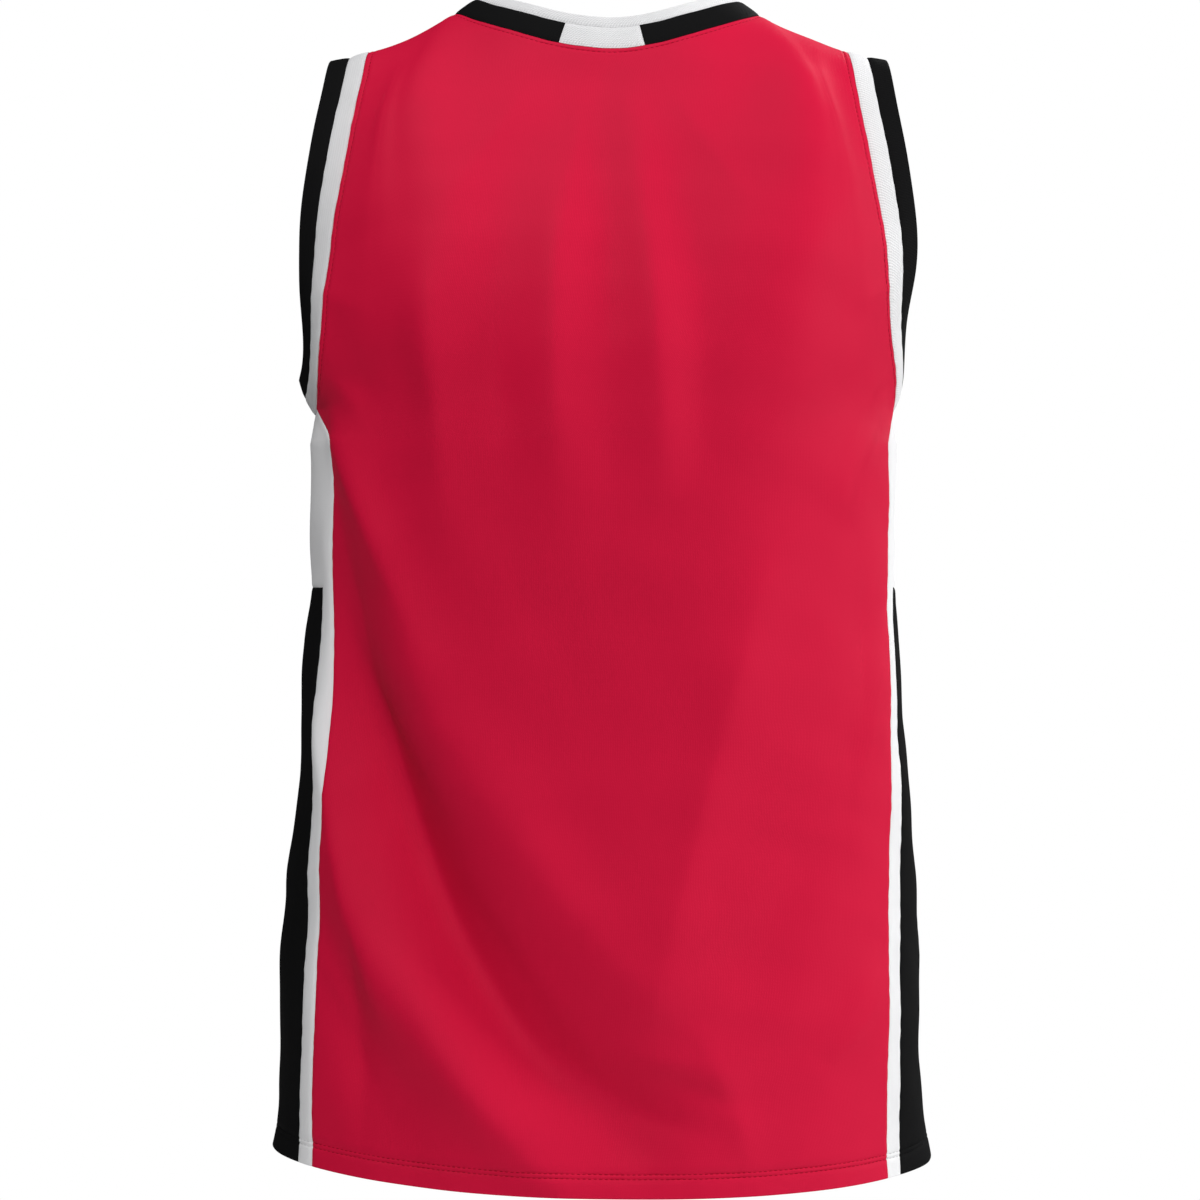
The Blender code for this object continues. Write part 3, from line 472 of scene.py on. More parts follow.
def neck_point(theta, face):
    """Neckline: an ellipse in plan that drops with a power of the distance from the middle."""
    shape = NECKLINE[face]
    x = NECK_CENTRE + face * NECK_RADIUS * np.cos(theta)
    z = -shape["drop"] * (1 - np.abs(np.cos(theta)) ** shape["curve"])
    return stack(x, face * shape["reach"] * np.sin(theta), z)


def neck_climb(theta, face):
    """Direction in which the cloth crosses the neckline: inward in plan, and upward."""
    shape = NECKLINE[face]
    plan = unit(stack(-face * np.cos(theta) / NECK_RADIUS, -face * np.sin(theta) / shape["reach"], 0.0))
    rise = NECK_POINT_RISE + (shape["rise"] - NECK_POINT_RISE) * np.sin(theta) ** 2
    return unit(plan + stack(0.0, 0.0, rise))


def neck_angle(u):
    """Angle along the neckline for each share of the panel's width, even within each stretch."""
    cells = np.cumsum([STRAP_CELLS, NECK_SIDE_CELLS, BLOCK_CELLS, NECK_SIDE_CELLS])
    degrees = [0.0, *BLOCK_SPAN, 180.0]
    return np.radians(np.interp(u * PANEL_CELLS, cells, degrees))


def top_edge(u, face):
    """Top of a panel: where each column ends, and the direction in which it gets there."""
    side = np.where(u < 0.5, face, -face)
    share = np.clip(np.minimum(u, 1 - u) / STRAP_SHARE, 0.0, 1.0)
    tip = armhole_curve(1, face)[0][-1] - (YOKE_CENTRE[0], 0.0, 0.0)
    centre = YOKE_CENTRE[0] + (NECK_CENTRE - YOKE_CENTRE[0]) * share
    x = centre + side * (tip[0] + (NECK_RADIUS - tip[0]) * share)
    ridge = stack(x, 0.0, tip[2] * (1 - share ** STRAP_CURVE))
    theta = neck_angle(u)
    on_strap = (share < 1.0)[..., None]
    point = np.where(on_strap, ridge, neck_point(theta, face))
    from_corner = np.minimum(theta, np.pi - theta) / np.radians(CORNER_REACH)
    forward = CORNER_BEND * np.clip(1 - from_corner, 0.0, 1.0) ** 2
    inward = neck_climb(theta, face) * (share ** 2)[..., None]
    return point, unit(inward + stack(0.0, -face * forward, 0.0))


def yoke(u, v, face):
    """Upper half of a panel: each column is a cubic curve from the gusset level to the top edge.

    It leaves the lower torso smoothly and arrives in the top edge's own direction. Columns near an
    armhole are then drawn to its seam, by a share that fades with the square of the distance. What
    runs along the cloth at the seam runs along the cloth at each column, so that nothing dents.
    """
    angle = panel_angle(face)

    def column(u, v):
        foot = skirt(u, np.ones_like(u), angle)
        rise = foot - skirt(u, np.full_like(u, 1 - SLOPE_STEP), angle)
        top, arrive = top_edge(u, face)
        chord = np.linalg.norm(top - foot, axis=-1)
        middle = np.sin(neck_angle(u)) ** 2
        leave_length, arrive_length = ((strap + (centre - strap) * middle) * chord
                                       for strap, centre in zip(FULLNESS_STRAP, FULLNESS_CENTRE))
        leave = rise / rise[..., 2:] * leave_length[..., None]
        arrive = arrive * arrive_length[..., None]
        t = v[..., None] ** COLUMN_EASE
        foot_part = (1 + 2 * t) * (1 - t) ** 2 * foot + t * (1 - t) ** 2 * leave
        return foot_part + t * t * (3 - 2 * t) * top - t * t * (1 - t) * arrive

    points = column(u, v)
    frames = surface_frames(points)
    for edge_u, at_edge, side in ((0.0, slice(0, 1), face), (1.0, slice(-1, None), -face)):
        missing = armhole_edge(side, face, v) - points[:, at_edge]
        pull = np.clip(1 - np.abs(u - edge_u) / EDGE_REACH, 0.0, 1.0) ** 2
        for frame_axis in frames:
            part = np.sum(missing * frame_axis[:, at_edge], axis=-1)
            points = points + frame_axis * (part * pull)[..., None]
    return points


def surface_frames(points):
    """Three unit directions at each point of a grid: along its row, out of it and across both."""
    along = unit(np.gradient(points, axis=1))
    out = unit(np.cross(along, np.gradient(points, axis=0)))
    return along, out, np.cross(out, along)


# ---- folds and unevenness ----
def fold_distance(points, fold):
    """Signed distance of each point from a fold's curve, and the place along it from 0 to 1.

    The body's surface is unrolled at each point's own radius, and the curve, a parabola between
    its ends drawn towards its bend, is followed as short straight pieces.
    """
    z = points[..., 2].ravel()
    depth = np.where(points[..., 1].ravel() > 0, torso("back", z), torso("front", z))
    width = torso("half_width", z)
    angle = np.arctan2(points[..., 1].ravel() / depth, points[..., 0].ravel() / width)
    s = np.linspace(0.0, 1.0, FOLD_SAMPLES)
    bend = [(1 - s) ** 2, 2 * s * (1 - s), s ** 2]
    turn_from = [np.radians((fold[name] - fold["a1"] + 180) % 360 - 180)
                 for name in ("a0", "a1", "a2")]
    turn = sum(share * value for share, value in zip(bend, turn_from))
    height = sum(share * fold[name] for share, name in zip(bend, ("z0", "z1", "z2")))
    radius = 0.5 * (width + depth)
    around = radius * np.angle(np.exp(1j * (angle - np.radians(fold["a1"]))))
    reach = FOLD_REACH * fold["width"]
    close = (z > height.min() - reach) & (z < height.max() + reach)
    close &= (around > radius * turn.min() - reach) & (around < radius * turn.max() + reach)
    gap = np.full(z.shape, 1.0)
    place = np.zeros(z.shape)
    if close.any():
        across = radius[close, None] * turn[None]
        step_x, step_z = np.diff(across, axis=1), np.diff(height)[None]
        from_x, from_z = around[close, None] - across[:, :-1], z[close, None] - height[None, :-1]
        length = step_x ** 2 + step_z ** 2
        t = np.clip((from_x * step_x + from_z * step_z) / length, 0.0, 1.0)
        away = np.hypot(from_x - t * step_x, from_z - t * step_z)
        nearest = np.argmin(away, axis=1)
        row = np.arange(len(nearest))
        side = np.sign(step_x[row, nearest] * from_z[row, nearest]
                       - np.broadcast_to(step_z, step_x.shape)[row, nearest] * from_x[row, nearest])
        gap[close] = away[row, nearest] * side
        place[close] = (nearest + t[row, nearest]) / (FOLD_SAMPLES - 1)
    return gap.reshape(points.shape[:-1]), place.reshape(points.shape[:-1])


def fold_height(points, columns, rows, shape):
    """Height of folds: a bell across each one, and along it a sine that fades to both ends.

    The bell is exp(-(distance / width) ** power), with the width larger on the side of the lean.
    """
    total = np.zeros(points.shape[:-1])
    for row in rows:
        fold = dict(zip(columns, row))
        gap, place = fold_distance(points, fold)
        width = fold["width"] * (1 + fold.get("lean", 0.0) * np.sign(gap))
        fade = np.sin(np.pi * np.clip(place, shape["ends"], 1 - shape["ends"])) ** shape["fade"]
        total += fold["depth"] * fade * np.exp(-(np.abs(gap) / width) ** shape["bell"])
    return total


WAVES = np.random.default_rng(7).normal(size=(WAVE_COUNT, 3))
WAVE_LENGTHS = np.geomspace(*WAVE_SPAN, WAVE_COUNT)


def unevenness(points):
    """Sum of plane sine waves in fixed random directions, each as high as it is long."""
    total = np.zeros(points.shape[:-1])
    for number, (direction, length) in enumerate(zip(unit(WAVES), WAVE_LENGTHS)):
        phase = WAVE_PHASE * number
        total += np.sin(points @ direction * (2 * np.pi / length) + phase) * length / WAVE_MEAN
    return UNEVENNESS * total


def puckers(points):
    """How much the seams draw in at each point: even, plus two short waves that cross."""
    first, second = (np.sin(points @ np.array(wave) + phase) for phase, wave in enumerate(PUCKER_WAVES))
    return 1 + PUCKER * (first + second) / 2


# ---- grids of the pieces ----
def grid_normals(points, ring):
    """Outward normals of a grid whose columns run round the body and whose rows run upward."""
    if ring:
        across = np.roll(points, -1, axis=1) - np.roll(points, 1, axis=1)
    else:
        across = np.gradient(points, axis=1)
    return unit(np.cross(across, np.gradient(points, axis=0)))


def run(points, axis):
    """Length along the grid's lines from their first point, along one axis."""
    steps = np.linalg.norm(np.diff(points, axis=axis), axis=-1)
    start = np.zeros_like(np.take(steps, [0], axis=axis))
    return np.concatenate([start, np.cumsum(steps, axis=axis)], axis=axis)


def last_of(lengths, axis):
    """What is left of each line's length at each of its points."""
    return np.take(lengths, [-1], axis=axis) - lengths


def bell_average(points, place, reach):
    """Average a grid's rows by a bell along the place of each, narrower towards the first and last.

    Twice the average less the average of the average keeps the form and takes off the kinks.
    """
    to_end = np.minimum(place - place[0], place[-1] - place)
    sigma = np.clip(BELL_AT_END * to_end, 1e-6, reach)[:, None]
    weight = np.exp(-((place[:, None] - place[None]) / sigma) ** 2 / 2) * np.gradient(place)[None]
    weight /= weight.sum(axis=1, keepdims=True)
    once = np.tensordot(weight, points, axes=1)
    return 2 * once - np.tensordot(weight, once, axes=1)


def soften(grid):
    """Take the kinks off a panel that start at the corners of its edges, and leave its edges."""
    rows = run(grid, 0).mean(axis=1)
    columns = run(grid, 1).mean(axis=0)
    beside = np.clip(np.minimum(columns, columns[-1] - columns) / SOFT_EDGE, 0.0, 1.0)[None, :, None]
    below = np.clip(np.minimum(rows, rows[-1] - rows) / SOFT_EDGE, 0.0, 1.0)[:, None, None]
    grid = grid + (bell_average(grid, rows, SOFT_REACH) - grid) * beside
    across = bell_average(grid.swapaxes(0, 1), columns, SOFT_REACH).swapaxes(0, 1)
    return grid + (across - grid) * below


def panel_grid(face):
    """The whole front or back, from hem to shoulders and neckline."""
    v = np.concatenate([GUSSET_ROWS * GUSSET_SHARE, ARM_ROWS])
    lower = skirt(*np.meshgrid(PANEL_COLUMNS, SKIRT_ROWS), panel_angle(face))
    upper = yoke(*np.meshgrid(PANEL_COLUMNS, v), face)
    return soften(np.concatenate([lower, upper]))


def gusset_top(u, side):
    """Top edge of a side panel: across the foot of the armhole, with a slight dip."""
    first = armhole_curve(side, -side)[0][0]
    last = armhole_curve(side, side)[0][0]
    return mix(first, last, u) - stack(0.0, 0.0, GUSSET_DIP * np.sin(np.pi * u))


def side_grid(side):
    """A side panel with its insert's place, from the hem to the foot of the armhole."""
    lower = skirt(*np.meshgrid(SIDE_COLUMNS, SKIRT_ROWS), side_angle(side))
    share = GUSSET_ROWS[:, None] * np.ones(len(SIDE_COLUMNS))
    upper = mix(lower[-1], gusset_top(SIDE_COLUMNS, side), share)
    return np.concatenate([lower, upper])


def make_panels():
    """Grids of front, back and both sides, with their shared seams made equal."""
    grids = {"back_panel": panel_grid(1), "front_panel": panel_grid(-1),
             "side_panel_left": side_grid(1), "side_panel_right": side_grid(-1)}
    seams = (("back_panel", 0, "side_panel_left", -1), ("back_panel", -1, "side_panel_right", 0),
             ("front_panel", 0, "side_panel_right", -1), ("front_panel", -1, "side_panel_left", 0))
    for panel, panel_column, side, side_column in seams:
        on_panel, on_side = grids[panel][:BELOW_ARM, panel_column], grids[side][:BELOW_ARM, side_column]
        on_panel[:] = on_side[:] = (on_panel + on_side) / 2
    strap = int(np.sum(PANEL_COLUMNS < STRAP_SHARE + 1e-6))
    straps = (slice(0, strap), slice(-strap, None))
    for here, there in (straps, straps[::-1]):
        middle = (grids["back_panel"][-1, here] + grids["front_panel"][-1, there][::-1]) / 2
        grids["back_panel"][-1, here] = middle
        grids["front_panel"][-1, there] = middle[::-1]
    return grids


def share_normals(grids, normals):
    """Average the normals of points that pieces share, so that both sides of a seam are parallel."""
    points = np.concatenate([grid.reshape(-1, 3) for grid in grids.values()])
    every = np.concatenate([normals[name].reshape(-1, 3) for name in grids])
    _, group = np.unique(np.round(points, 6), axis=0, return_inverse=True)
    group = group.reshape(-1)
    total = np.zeros((group.max() + 1, 3))
    np.add.at(total, group, every)
    shared = unit(total)[group]
    start = 0
    for name, grid in grids.items():
        count = grid.size // 3
        normals[name] = shared[start:start + count].reshape(grid.shape)
        start += count
    return normals


def drape(grids):
    """Push the panels out or in along their normals by folds, creases and unevenness."""
    normals = share_normals(grids, {name: grid_normals(grid, False) for name, grid in grids.items()})
    for name, grid in grids.items():
        height = fold_height(grid, FOLD_COLUMNS, FOLDS, FOLD_SHAPE)
        height += fold_height(grid, CREASE_COLUMNS, CREASES, CREASE_SHAPE) + unevenness(grid)
        grids[name] = grid + normals[name] * height[..., None]
    return grids


def loop_bell(edge, reach):
    """Weights of a bell of the given reach between the points of a closed edge, along the edge."""
    steps = np.linalg.norm(np.roll(edge, -1, axis=0) - edge, axis=1)
    place = np.concatenate([[0.0], np.cumsum(steps)[:-1]])
    apart = np.abs(place[:, None] - place[None])
    apart = np.minimum(apart, steps.sum() - apart)
    weight = np.exp(-(apart / reach) ** 2 / 2) * (steps + np.roll(steps, 1))[None]
    return weight / weight.sum(axis=1, keepdims=True)


def even_out(direction, edge, reach):
    """Average directions along a closed edge by a bell of the given reach, square to the edge."""
    along = unit(np.roll(edge, -1, axis=0) - np.roll(edge, 1, axis=0))
    weight = loop_bell(edge, reach)
    for _ in range(2):
        direction = weight @ direction
        direction = unit(direction - along * np.sum(direction * along, axis=-1, keepdims=True))
    return direction


def round_corners(edge, reach):
    """Round a closed edge: twice its bell average less the average of that, which keeps its size."""
    weight = loop_bell(edge, reach)
    once = weight @ edge
    return 2 * once - weight @ once


def armhole_seam(side, grids):
    """Closed seam round an armhole: down one panel, across the gusset and up the other panel."""
    first = grids["front_panel"] if side > 0 else grids["back_panel"]
    last = grids["back_panel"] if side > 0 else grids["front_panel"]
    gusset = grids["side_panel_left"] if side > 0 else grids["side_panel_right"]
    rows = len(ARM_ROWS)
    down = first[-1:-rows - 2:-1, -1]
    up = last[-rows - 1:-1, 0]
    return np.concatenate([down, gusset[-1, 1:-1], up])


# Rows of a strip that is sewn at both edges, and of one that is finished at its far edge
STRIP_ROWS = shares(STRIP_CELLS, both_ends(STRIP_LINES, ARM_STRIP))
FREE_ROWS = shares(STRIP_CELLS, np.array(FOOT_LINES) / ARM_STRIP, 1 - np.array(AT_EDGE[:5]) / ARM_STRIP)


def strip_rows(edge, direction, width, rows):
    """A strip beside an edge, running along the directions."""
    return edge[None] + direction[None] * (width * rows)[:, None, None]


def armhole_strips(side, edge):
    """The inner and the outer strip of an armhole, one beyond the other.

    Each runs outward by its flare in the table, and in over the opening with what is left. Its far
    edge is rounded, and its rows are straight mixes of its two edges.
    """
    along = unit(np.roll(edge, -1, axis=0) - np.roll(edge, 1, axis=0))
    outward = np.array([float(side), 0.0, 0.0])
    inward = np.cross(outward, along)
    inward = unit(inward * np.sign(np.sum(inward * (edge.mean(axis=0) - edge), axis=-1, keepdims=True)))
    strips, start = [], edge
    word = "left" if side > 0 else "right"
    for name, rows in (("inner_" + word, STRIP_ROWS), ("outer_" + word, FREE_ROWS)):
        flare = smooth(ARMHOLE_TABLE["z"][::-1], ARMHOLE_TABLE[name][::-1], edge[:, 2])[:, None]
        direction = outward * flare + inward * np.sqrt(1 - flare ** 2)
        end = start + even_out(direction, start, ARM_EVEN) * ARM_STRIP
        end = round_corners(end, ARM_ROUND)
        strips.append(mix(start[None], end[None], rows[:, None]))
        start = end
    return strips


def neck_loop(grids):
    """Closed neck seam, across the back from left to right and back round the front."""
    angles = neck_angle(PANEL_COLUMNS)[ON_NECK]
    edge = np.concatenate([grids[name][-1, ON_NECK][:-1] for name in ("back_panel", "front_panel")])
    direction = np.concatenate([neck_climb(angles, face)[:-1] for face in (1, -1)])
    return edge, even_out(direction, edge, NECK_EVEN)


# ---- shells of cloth ----
LEAST_ROUND = 0.02           # share of the round edge's radius where the two surfaces stop closing in
SHARP_ANGLE = 55.0           # degrees above which an edge of a mesh is shaded sharp


def piece_of(points, ring=False, keep=None, seam=None, free=None, cloth=PANEL_CLOTH, crown=0.0):
    """A piece's grid, with the distance of each point from the nearest seam and finished edge."""
    rows, columns = points.shape[:2]
    cells = np.ones((rows - 1, columns if ring else columns - 1), bool)
    if keep is not None:
        cells &= keep
    far = np.full((rows, columns), 1.0)
    return {"points": points, "ring": ring, "cells": cells, "cloth": cloth,
            "seam": far if seam is None else seam, "free": far if free is None else free,
            "crown": crown * np.ones((rows, columns)), "stitch": np.zeros((rows, columns)),
            "turned": np.zeros((rows, columns))}


def panel_piece(grid):
    """Front or back: sewn all round but for the hem, with stitching beside neck and armholes."""
    across, up = run(grid, 1), run(grid, 0)
    sides = np.minimum(across, last_of(across, 1))
    top = last_of(up, 0)
    made = piece_of(grid, seam=np.minimum(sides, top), free=up)
    on_arm = (np.arange(len(grid)) >= BELOW_ARM)[:, None]
    on_neck = ((PANEL_COLUMNS > STRAP_SHARE) & (PANEL_COLUMNS < 1 - STRAP_SHARE))[None]
    made["stitch"] = (np.exp(-((sides - ARM_STITCH) / STITCH_ROLL) ** 2) * on_arm
                      + np.exp(-((top - NECK_STITCH) / STITCH_ROLL) ** 2) * on_neck)
    return hemmed(made)


def hemmed(piece):
    """Turn up the hem: a second layer inside, and a dip along each of its two rows of stitches."""
    above = piece["free"]
    for height in HEM_STITCHES:
        piece["stitch"] = piece["stitch"] + np.exp(-((above - height) / STITCH_ROLL) ** 2)
    piece["turned"] = np.clip((HEM_STITCHES[1] + TURNING_STEP - above) / TURNING_STEP, 0.0, 1.0)
    return piece


def side_pieces(grid):
    """The white side panel and its black insert, cut from one grid."""
    across, up = run(grid, 1), run(grid, 0)
    top_row = int(np.argmin(np.abs(SKIRT_ROWS - AT_INSERT)))
    first, last = INSERT_FIRST, INSERT_LAST
    edges = np.minimum(np.minimum(across, last_of(across, 1)), last_of(up, 0))
    beside_insert = np.maximum(np.maximum(across[:, [first]] - across, across - across[:, [last]]), 0.0)
    over_insert = np.maximum(up - up[[top_row]], 0.0)
    cells = np.ones((grid.shape[0] - 1, grid.shape[1] - 1), bool)
    cells[:top_row, first:last] = False
    seam = np.minimum(edges, np.hypot(beside_insert, over_insert))
    white = piece_of(grid, keep=cells, seam=seam, free=up)
    part = (slice(0, top_row + 1), slice(first, last + 1))
    within = np.minimum(np.minimum(across - across[:, [first]], across[:, [last]] - across),
                        up[[top_row]] - up)
    black = piece_of(grid[part], seam=within[part], free=up[part])
    return hemmed(white), hemmed(black)


def rib_piece(points, free_edge, keep=None, seam=None):
    """A ribbed strip that closes on itself: sewn at its foot, sewn or finished at its top."""
    up = run(points, 0)
    down = last_of(up, 0)
    height = up[-1:]
    near = up if free_edge else np.minimum(up, down)
    seam = near if seam is None else np.minimum(near, seam)
    crown = STRIP_CROWN * np.sin(np.pi * np.clip(up / height, 0.0, 1.0))
    return piece_of(points, ring=True, keep=keep, seam=seam, free=down if free_edge else None,
                    cloth=RIB_CLOTH, crown=crown)


def make_pieces():
    """Every piece of the jersey with its name."""
    grids = drape(make_panels())
    pieces = {"back": panel_piece(grids["back_panel"]), "front": panel_piece(grids["front_panel"])}
    for side, word in ((1, "left"), (-1, "right")):
        pieces["side_" + word], pieces["insert_" + word] = side_pieces(grids["side_panel_" + word])
        inner, outer = armhole_strips(side, armhole_seam(side, grids))
        pieces["armhole_white_" + word] = rib_piece(inner, False)
        pieces["armhole_black_" + word] = rib_piece(outer, True)
    edge, direction = neck_loop(grids)
    columns = PANEL_COLUMNS[ON_NECK][:-1]
    in_block = (columns > BLOCK_START - 1e-6) & (columns < BLOCK_END - 1e-6)
    block = np.concatenate([in_block, np.zeros(len(edge) - len(in_block), bool)])
    band = strip_rows(edge, direction, NECK_BAND, STRIP_ROWS)
    around = run(np.concatenate([band, band[:, :1]], axis=1), 1)[:, :-1]
    ends = np.nonzero(block)[0][[0, -1]] + (0, 1)
    to_end = np.minimum(np.abs(around - around[:, [ends[0]]]), np.abs(around - around[:, [ends[1]]]))
    pieces["neck_band"] = rib_piece(band, False, keep=~block[None], seam=to_end)
    pieces["neck_block"] = rib_piece(band, False, keep=block[None], seam=to_end)
    pieces["neck_edge"] = rib_piece(strip_rows(band[-1], direction, NECK_EDGE, FREE_ROWS), True)
    finish_surfaces(pieces)
    return pieces


def finish_surfaces(pieces):
    """Draw the cloth in at seams and stitches, round the strips up, and set the final normals."""
    grids = {name: piece["points"] for name, piece in pieces.items()}
    normals = {name: grid_normals(piece["points"], piece["ring"]) for name, piece in pieces.items()}
    normals = share_normals(grids, normals)
    for name, piece in pieces.items():
        dip = SEAM_DIP * np.exp(-(piece["seam"] / SEAM_ROLL) ** 2)
        dip = (dip + STITCH_DIP * piece["stitch"]) * puckers(piece["points"])
        height = piece["crown"] - dip
        grids[name] = piece["points"] + normals[name] * height[..., None]
    final = {name: grid_normals(grids[name], pieces[name]["ring"]) for name in pieces}
    final = share_normals(grids, final)
    for name, piece in pieces.items():
        piece["points"], piece["normals"] = grids[name], final[name]


def cell_faces(cells, columns):
    """Corner indices of each kept cell, counter-clockwise from outside."""
    row, column = np.nonzero(cells)
    right = (column + 1) % columns
    corners = (row * columns + column, row * columns + right,
               (row + 1) * columns + right, (row + 1) * columns + column)
    return np.stack(corners, axis=1)


def border_edges(faces, count):
    """Edges that only one face uses, in that face's direction."""
    edges = np.concatenate([faces[:, [i, (i + 1) % 4]] for i in range(4)]).astype(np.int64)
    forward = edges[:, 0] * count + edges[:, 1]
    backward = edges[:, 1] * count + edges[:, 0]
    return edges[~np.isin(forward, backward)]


def pull_in(points, normals, border, distance):
    """Move border points into their own piece, square to both edges that meet at each point."""
    start, end = border.T
    inward = unit(np.cross(normals[start], points[end] - points[start]))
    first, second = np.zeros_like(points), np.zeros_like(points)
    first[start] = inward
    second[end] = inward
    both = np.sum(first * second, axis=-1, keepdims=True)
    return points + distance * (first + second) / (1 + np.maximum(both, 0.0))


def shell_object(name, piece, material):
    """Give a grid its thickness and make it an object.

    The outer and the inner surface lie half a thickness to both sides of the grid. Towards a
    finished edge the thickness follows a quarter circle, so that the edge is round.
    """
    rows, columns = piece["points"].shape[:2]
    faces = cell_faces(piece["cells"], columns)
    border = border_edges(faces, rows * columns)
    normals = piece["normals"].reshape(-1, 3)
    middle = pull_in(piece["points"].reshape(-1, 3), normals, border, SEAM_CLEARANCE)
    half = piece["cloth"] / 2
    round_off = np.sqrt(1 - (1 - np.clip(piece["free"] / half, LEAST_ROUND, 1.0)) ** 2)
    outer_shift = (half * round_off).ravel()[:, None]
    inner_shift = ((half + HEM_TURNING * piece["turned"]) * round_off).ravel()[:, None]
    used = np.unique(faces)
    place = np.full(len(middle), -1)
    place[used] = np.arange(len(used))
    points = np.concatenate([(middle + normals * outer_shift)[used],
                             (middle - normals * inner_shift)[used]])
    outer = place[faces]
    start, end = place[border].T
    rim = np.stack([end, start, start + len(used), end + len(used)], axis=1)
    every = np.concatenate([outer, outer[:, ::-1] + len(used), rim])
    made = mesh_object(name, points, every, material)
    across, up = run(piece["points"], 1), run(piece["points"], 0)
    flat = np.stack([across.ravel(), up.ravel()], axis=1)
    flat = np.concatenate([flat[used], flat[used]])
    if piece["ring"]:
        add_ring_uv(made, flat, every, columns, used, across)
    else:
        add_uv(made, flat[every.ravel()])
    return made


def add_uv(made, corners):
    """Lay the cloth out flat in metres, so that knit and ribs follow the surface."""
    layer = made.data.uv_layers.new(name="cloth")
    layer.data.foreach_set("uv", corners.astype(np.float32).ravel())


def add_ring_uv(made, flat, every, columns, used, across):
    """The same for a ring, whose last cells end a full round on instead of back at the start."""
    corners = flat[every.ravel()].reshape(-1, 4, 2)
    column = np.concatenate([used % columns, used % columns])[every]
    wraps = (column.max(axis=1) == columns - 1) & (column.min(axis=1) == 0)
    full_round = across[:, -1].mean() + across[:, 1].mean()
    late = wraps[:, None] & (column == 0)
    corners[..., 0] += np.where(late, full_round, 0.0)
    add_uv(made, corners.reshape(-1, 2))


def mesh_object(name, points, faces, material):
    """Make an object at the origin from points and four-cornered faces."""
    mesh = bpy.data.meshes.new(name)
    mesh.vertices.add(len(points))
    mesh.vertices.foreach_set("co", points.astype(np.float32).ravel())
    mesh.loops.add(faces.size)
    mesh.loops.foreach_set("vertex_index", faces.astype(np.int32).ravel())
    mesh.polygons.add(len(faces))
    mesh.polygons.foreach_set("loop_start", np.arange(0, faces.size, 4, dtype=np.int32))
    mesh.update(calc_edges=True)
    mesh.shade_smooth()
    mesh.set_sharp_from_angle(angle=math.radians(SHARP_ANGLE))
    mesh.materials.append(material)
    made = bpy.data.objects.new(name, mesh)
    bpy.context.scene.collection.objects.link(made)
    return made


# ---- stitching ----
STITCH_LENGTH = 0.0027
STITCH_PITCH = 0.0035
THREAD = 0.00026             # radius of the thread
TAPER = 0.96                 # share of the thread's section that is gone at a stitch's ends
LIFT = 0.35                  # how far a stitch's middle stands up, and its ends sink, in radii
SINK = 1.1
STITCH_RINGS = 5
STITCH_SIDES = 5
INSET_ROWS = 16              # lines of the grid beside an edge that hold all its rows of stitches
UNSTITCHED = 3               # lines at the shoulder seam that the armhole stitching stops short of


def inset(piece, distance, side):
    """Points and normals on the outer surface at a distance from one side of the grid."""
    points, normals = piece["points"], piece["normals"]
    if side in ("left", "right"):
        points, normals = points.swapaxes(0, 1), normals.swapaxes(0, 1)
    if side in ("top", "right"):
        points, normals = points[::-1], normals[::-1]
    points, normals = points[:INSET_ROWS], normals[:INSET_ROWS]
    length = run(points, 0)
    low = np.clip((length < distance).sum(axis=0) - 1, 0, len(points) - 2)
    column = np.arange(points.shape[1])
    step = length[low + 1, column] - length[low, column]
    share = (distance - length[low, column]) / step
    place = mix(points[low, column], points[low + 1, column], share)
    normal = unit(mix(normals[low, column], normals[low + 1, column], share))
    return place + normal * piece["cloth"] / 2, normal


def stitches(lines):
    """Thread along lines of points and normals: short bent capsules, one after the other.

    Along a stitch, from -1 to 1, the radius follows the root of 1 - taper * t ** 4, and the middle
    line follows lift - sink * t ** 2, so that both ends go into the cloth.
    """
    t = np.linspace(-1.0, 1.0, STITCH_RINGS)
    around = np.linspace(0.0, 2 * np.pi, STITCH_SIDES, endpoint=False)
    radius = THREAD * np.sqrt(1 - TAPER * t ** 4)
    above = THREAD * (LIFT - SINK * t ** 2)
    vertices, faces, count = [], [], 0
    for points, normals in lines:
        length = run(points, 0)
        centre = np.arange(STITCH_PITCH, length[-1] - STITCH_PITCH / 2, STITCH_PITCH)
        at = centre[:, None] + t[None] * STITCH_LENGTH / 2
        place, up = (np.stack([np.interp(at, length, values[:, axis]) for axis in range(3)], axis=-1)
                     for values in (points, normals))
        along = unit(place[:, -1:] - place[:, :1])
        up = unit(up - along * np.sum(up * along, axis=-1, keepdims=True))
        side = np.cross(along, up)
        core = place + up * above[None, :, None]
        ring = (up[:, :, None] * np.cos(around)[None, None, :, None]
                + side[:, :, None] * np.sin(around)[None, None, :, None])
        vertices.append((core[:, :, None] + ring * radius[None, :, None, None]).reshape(-1, 3))
        k, i, j = np.meshgrid(np.arange(len(centre)), np.arange(STITCH_RINGS - 1),
                              np.arange(STITCH_SIDES), indexing="ij")
        base = count + (k * STITCH_RINGS + i) * STITCH_SIDES
        after = (j + 1) % STITCH_SIDES
        quad = (base + j, base + after, base + after + STITCH_SIDES, base + j + STITCH_SIDES)
        faces.append(np.stack(quad, axis=-1).reshape(-1, 4))
        count += len(centre) * STITCH_RINGS * STITCH_SIDES
    return np.concatenate(vertices), np.concatenate(faces)


def sew(name, lines, material):
    """Make an object of stitches that rides with the jersey."""
    made = mesh_object(name, *stitches(lines), material)
    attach(made, "root")


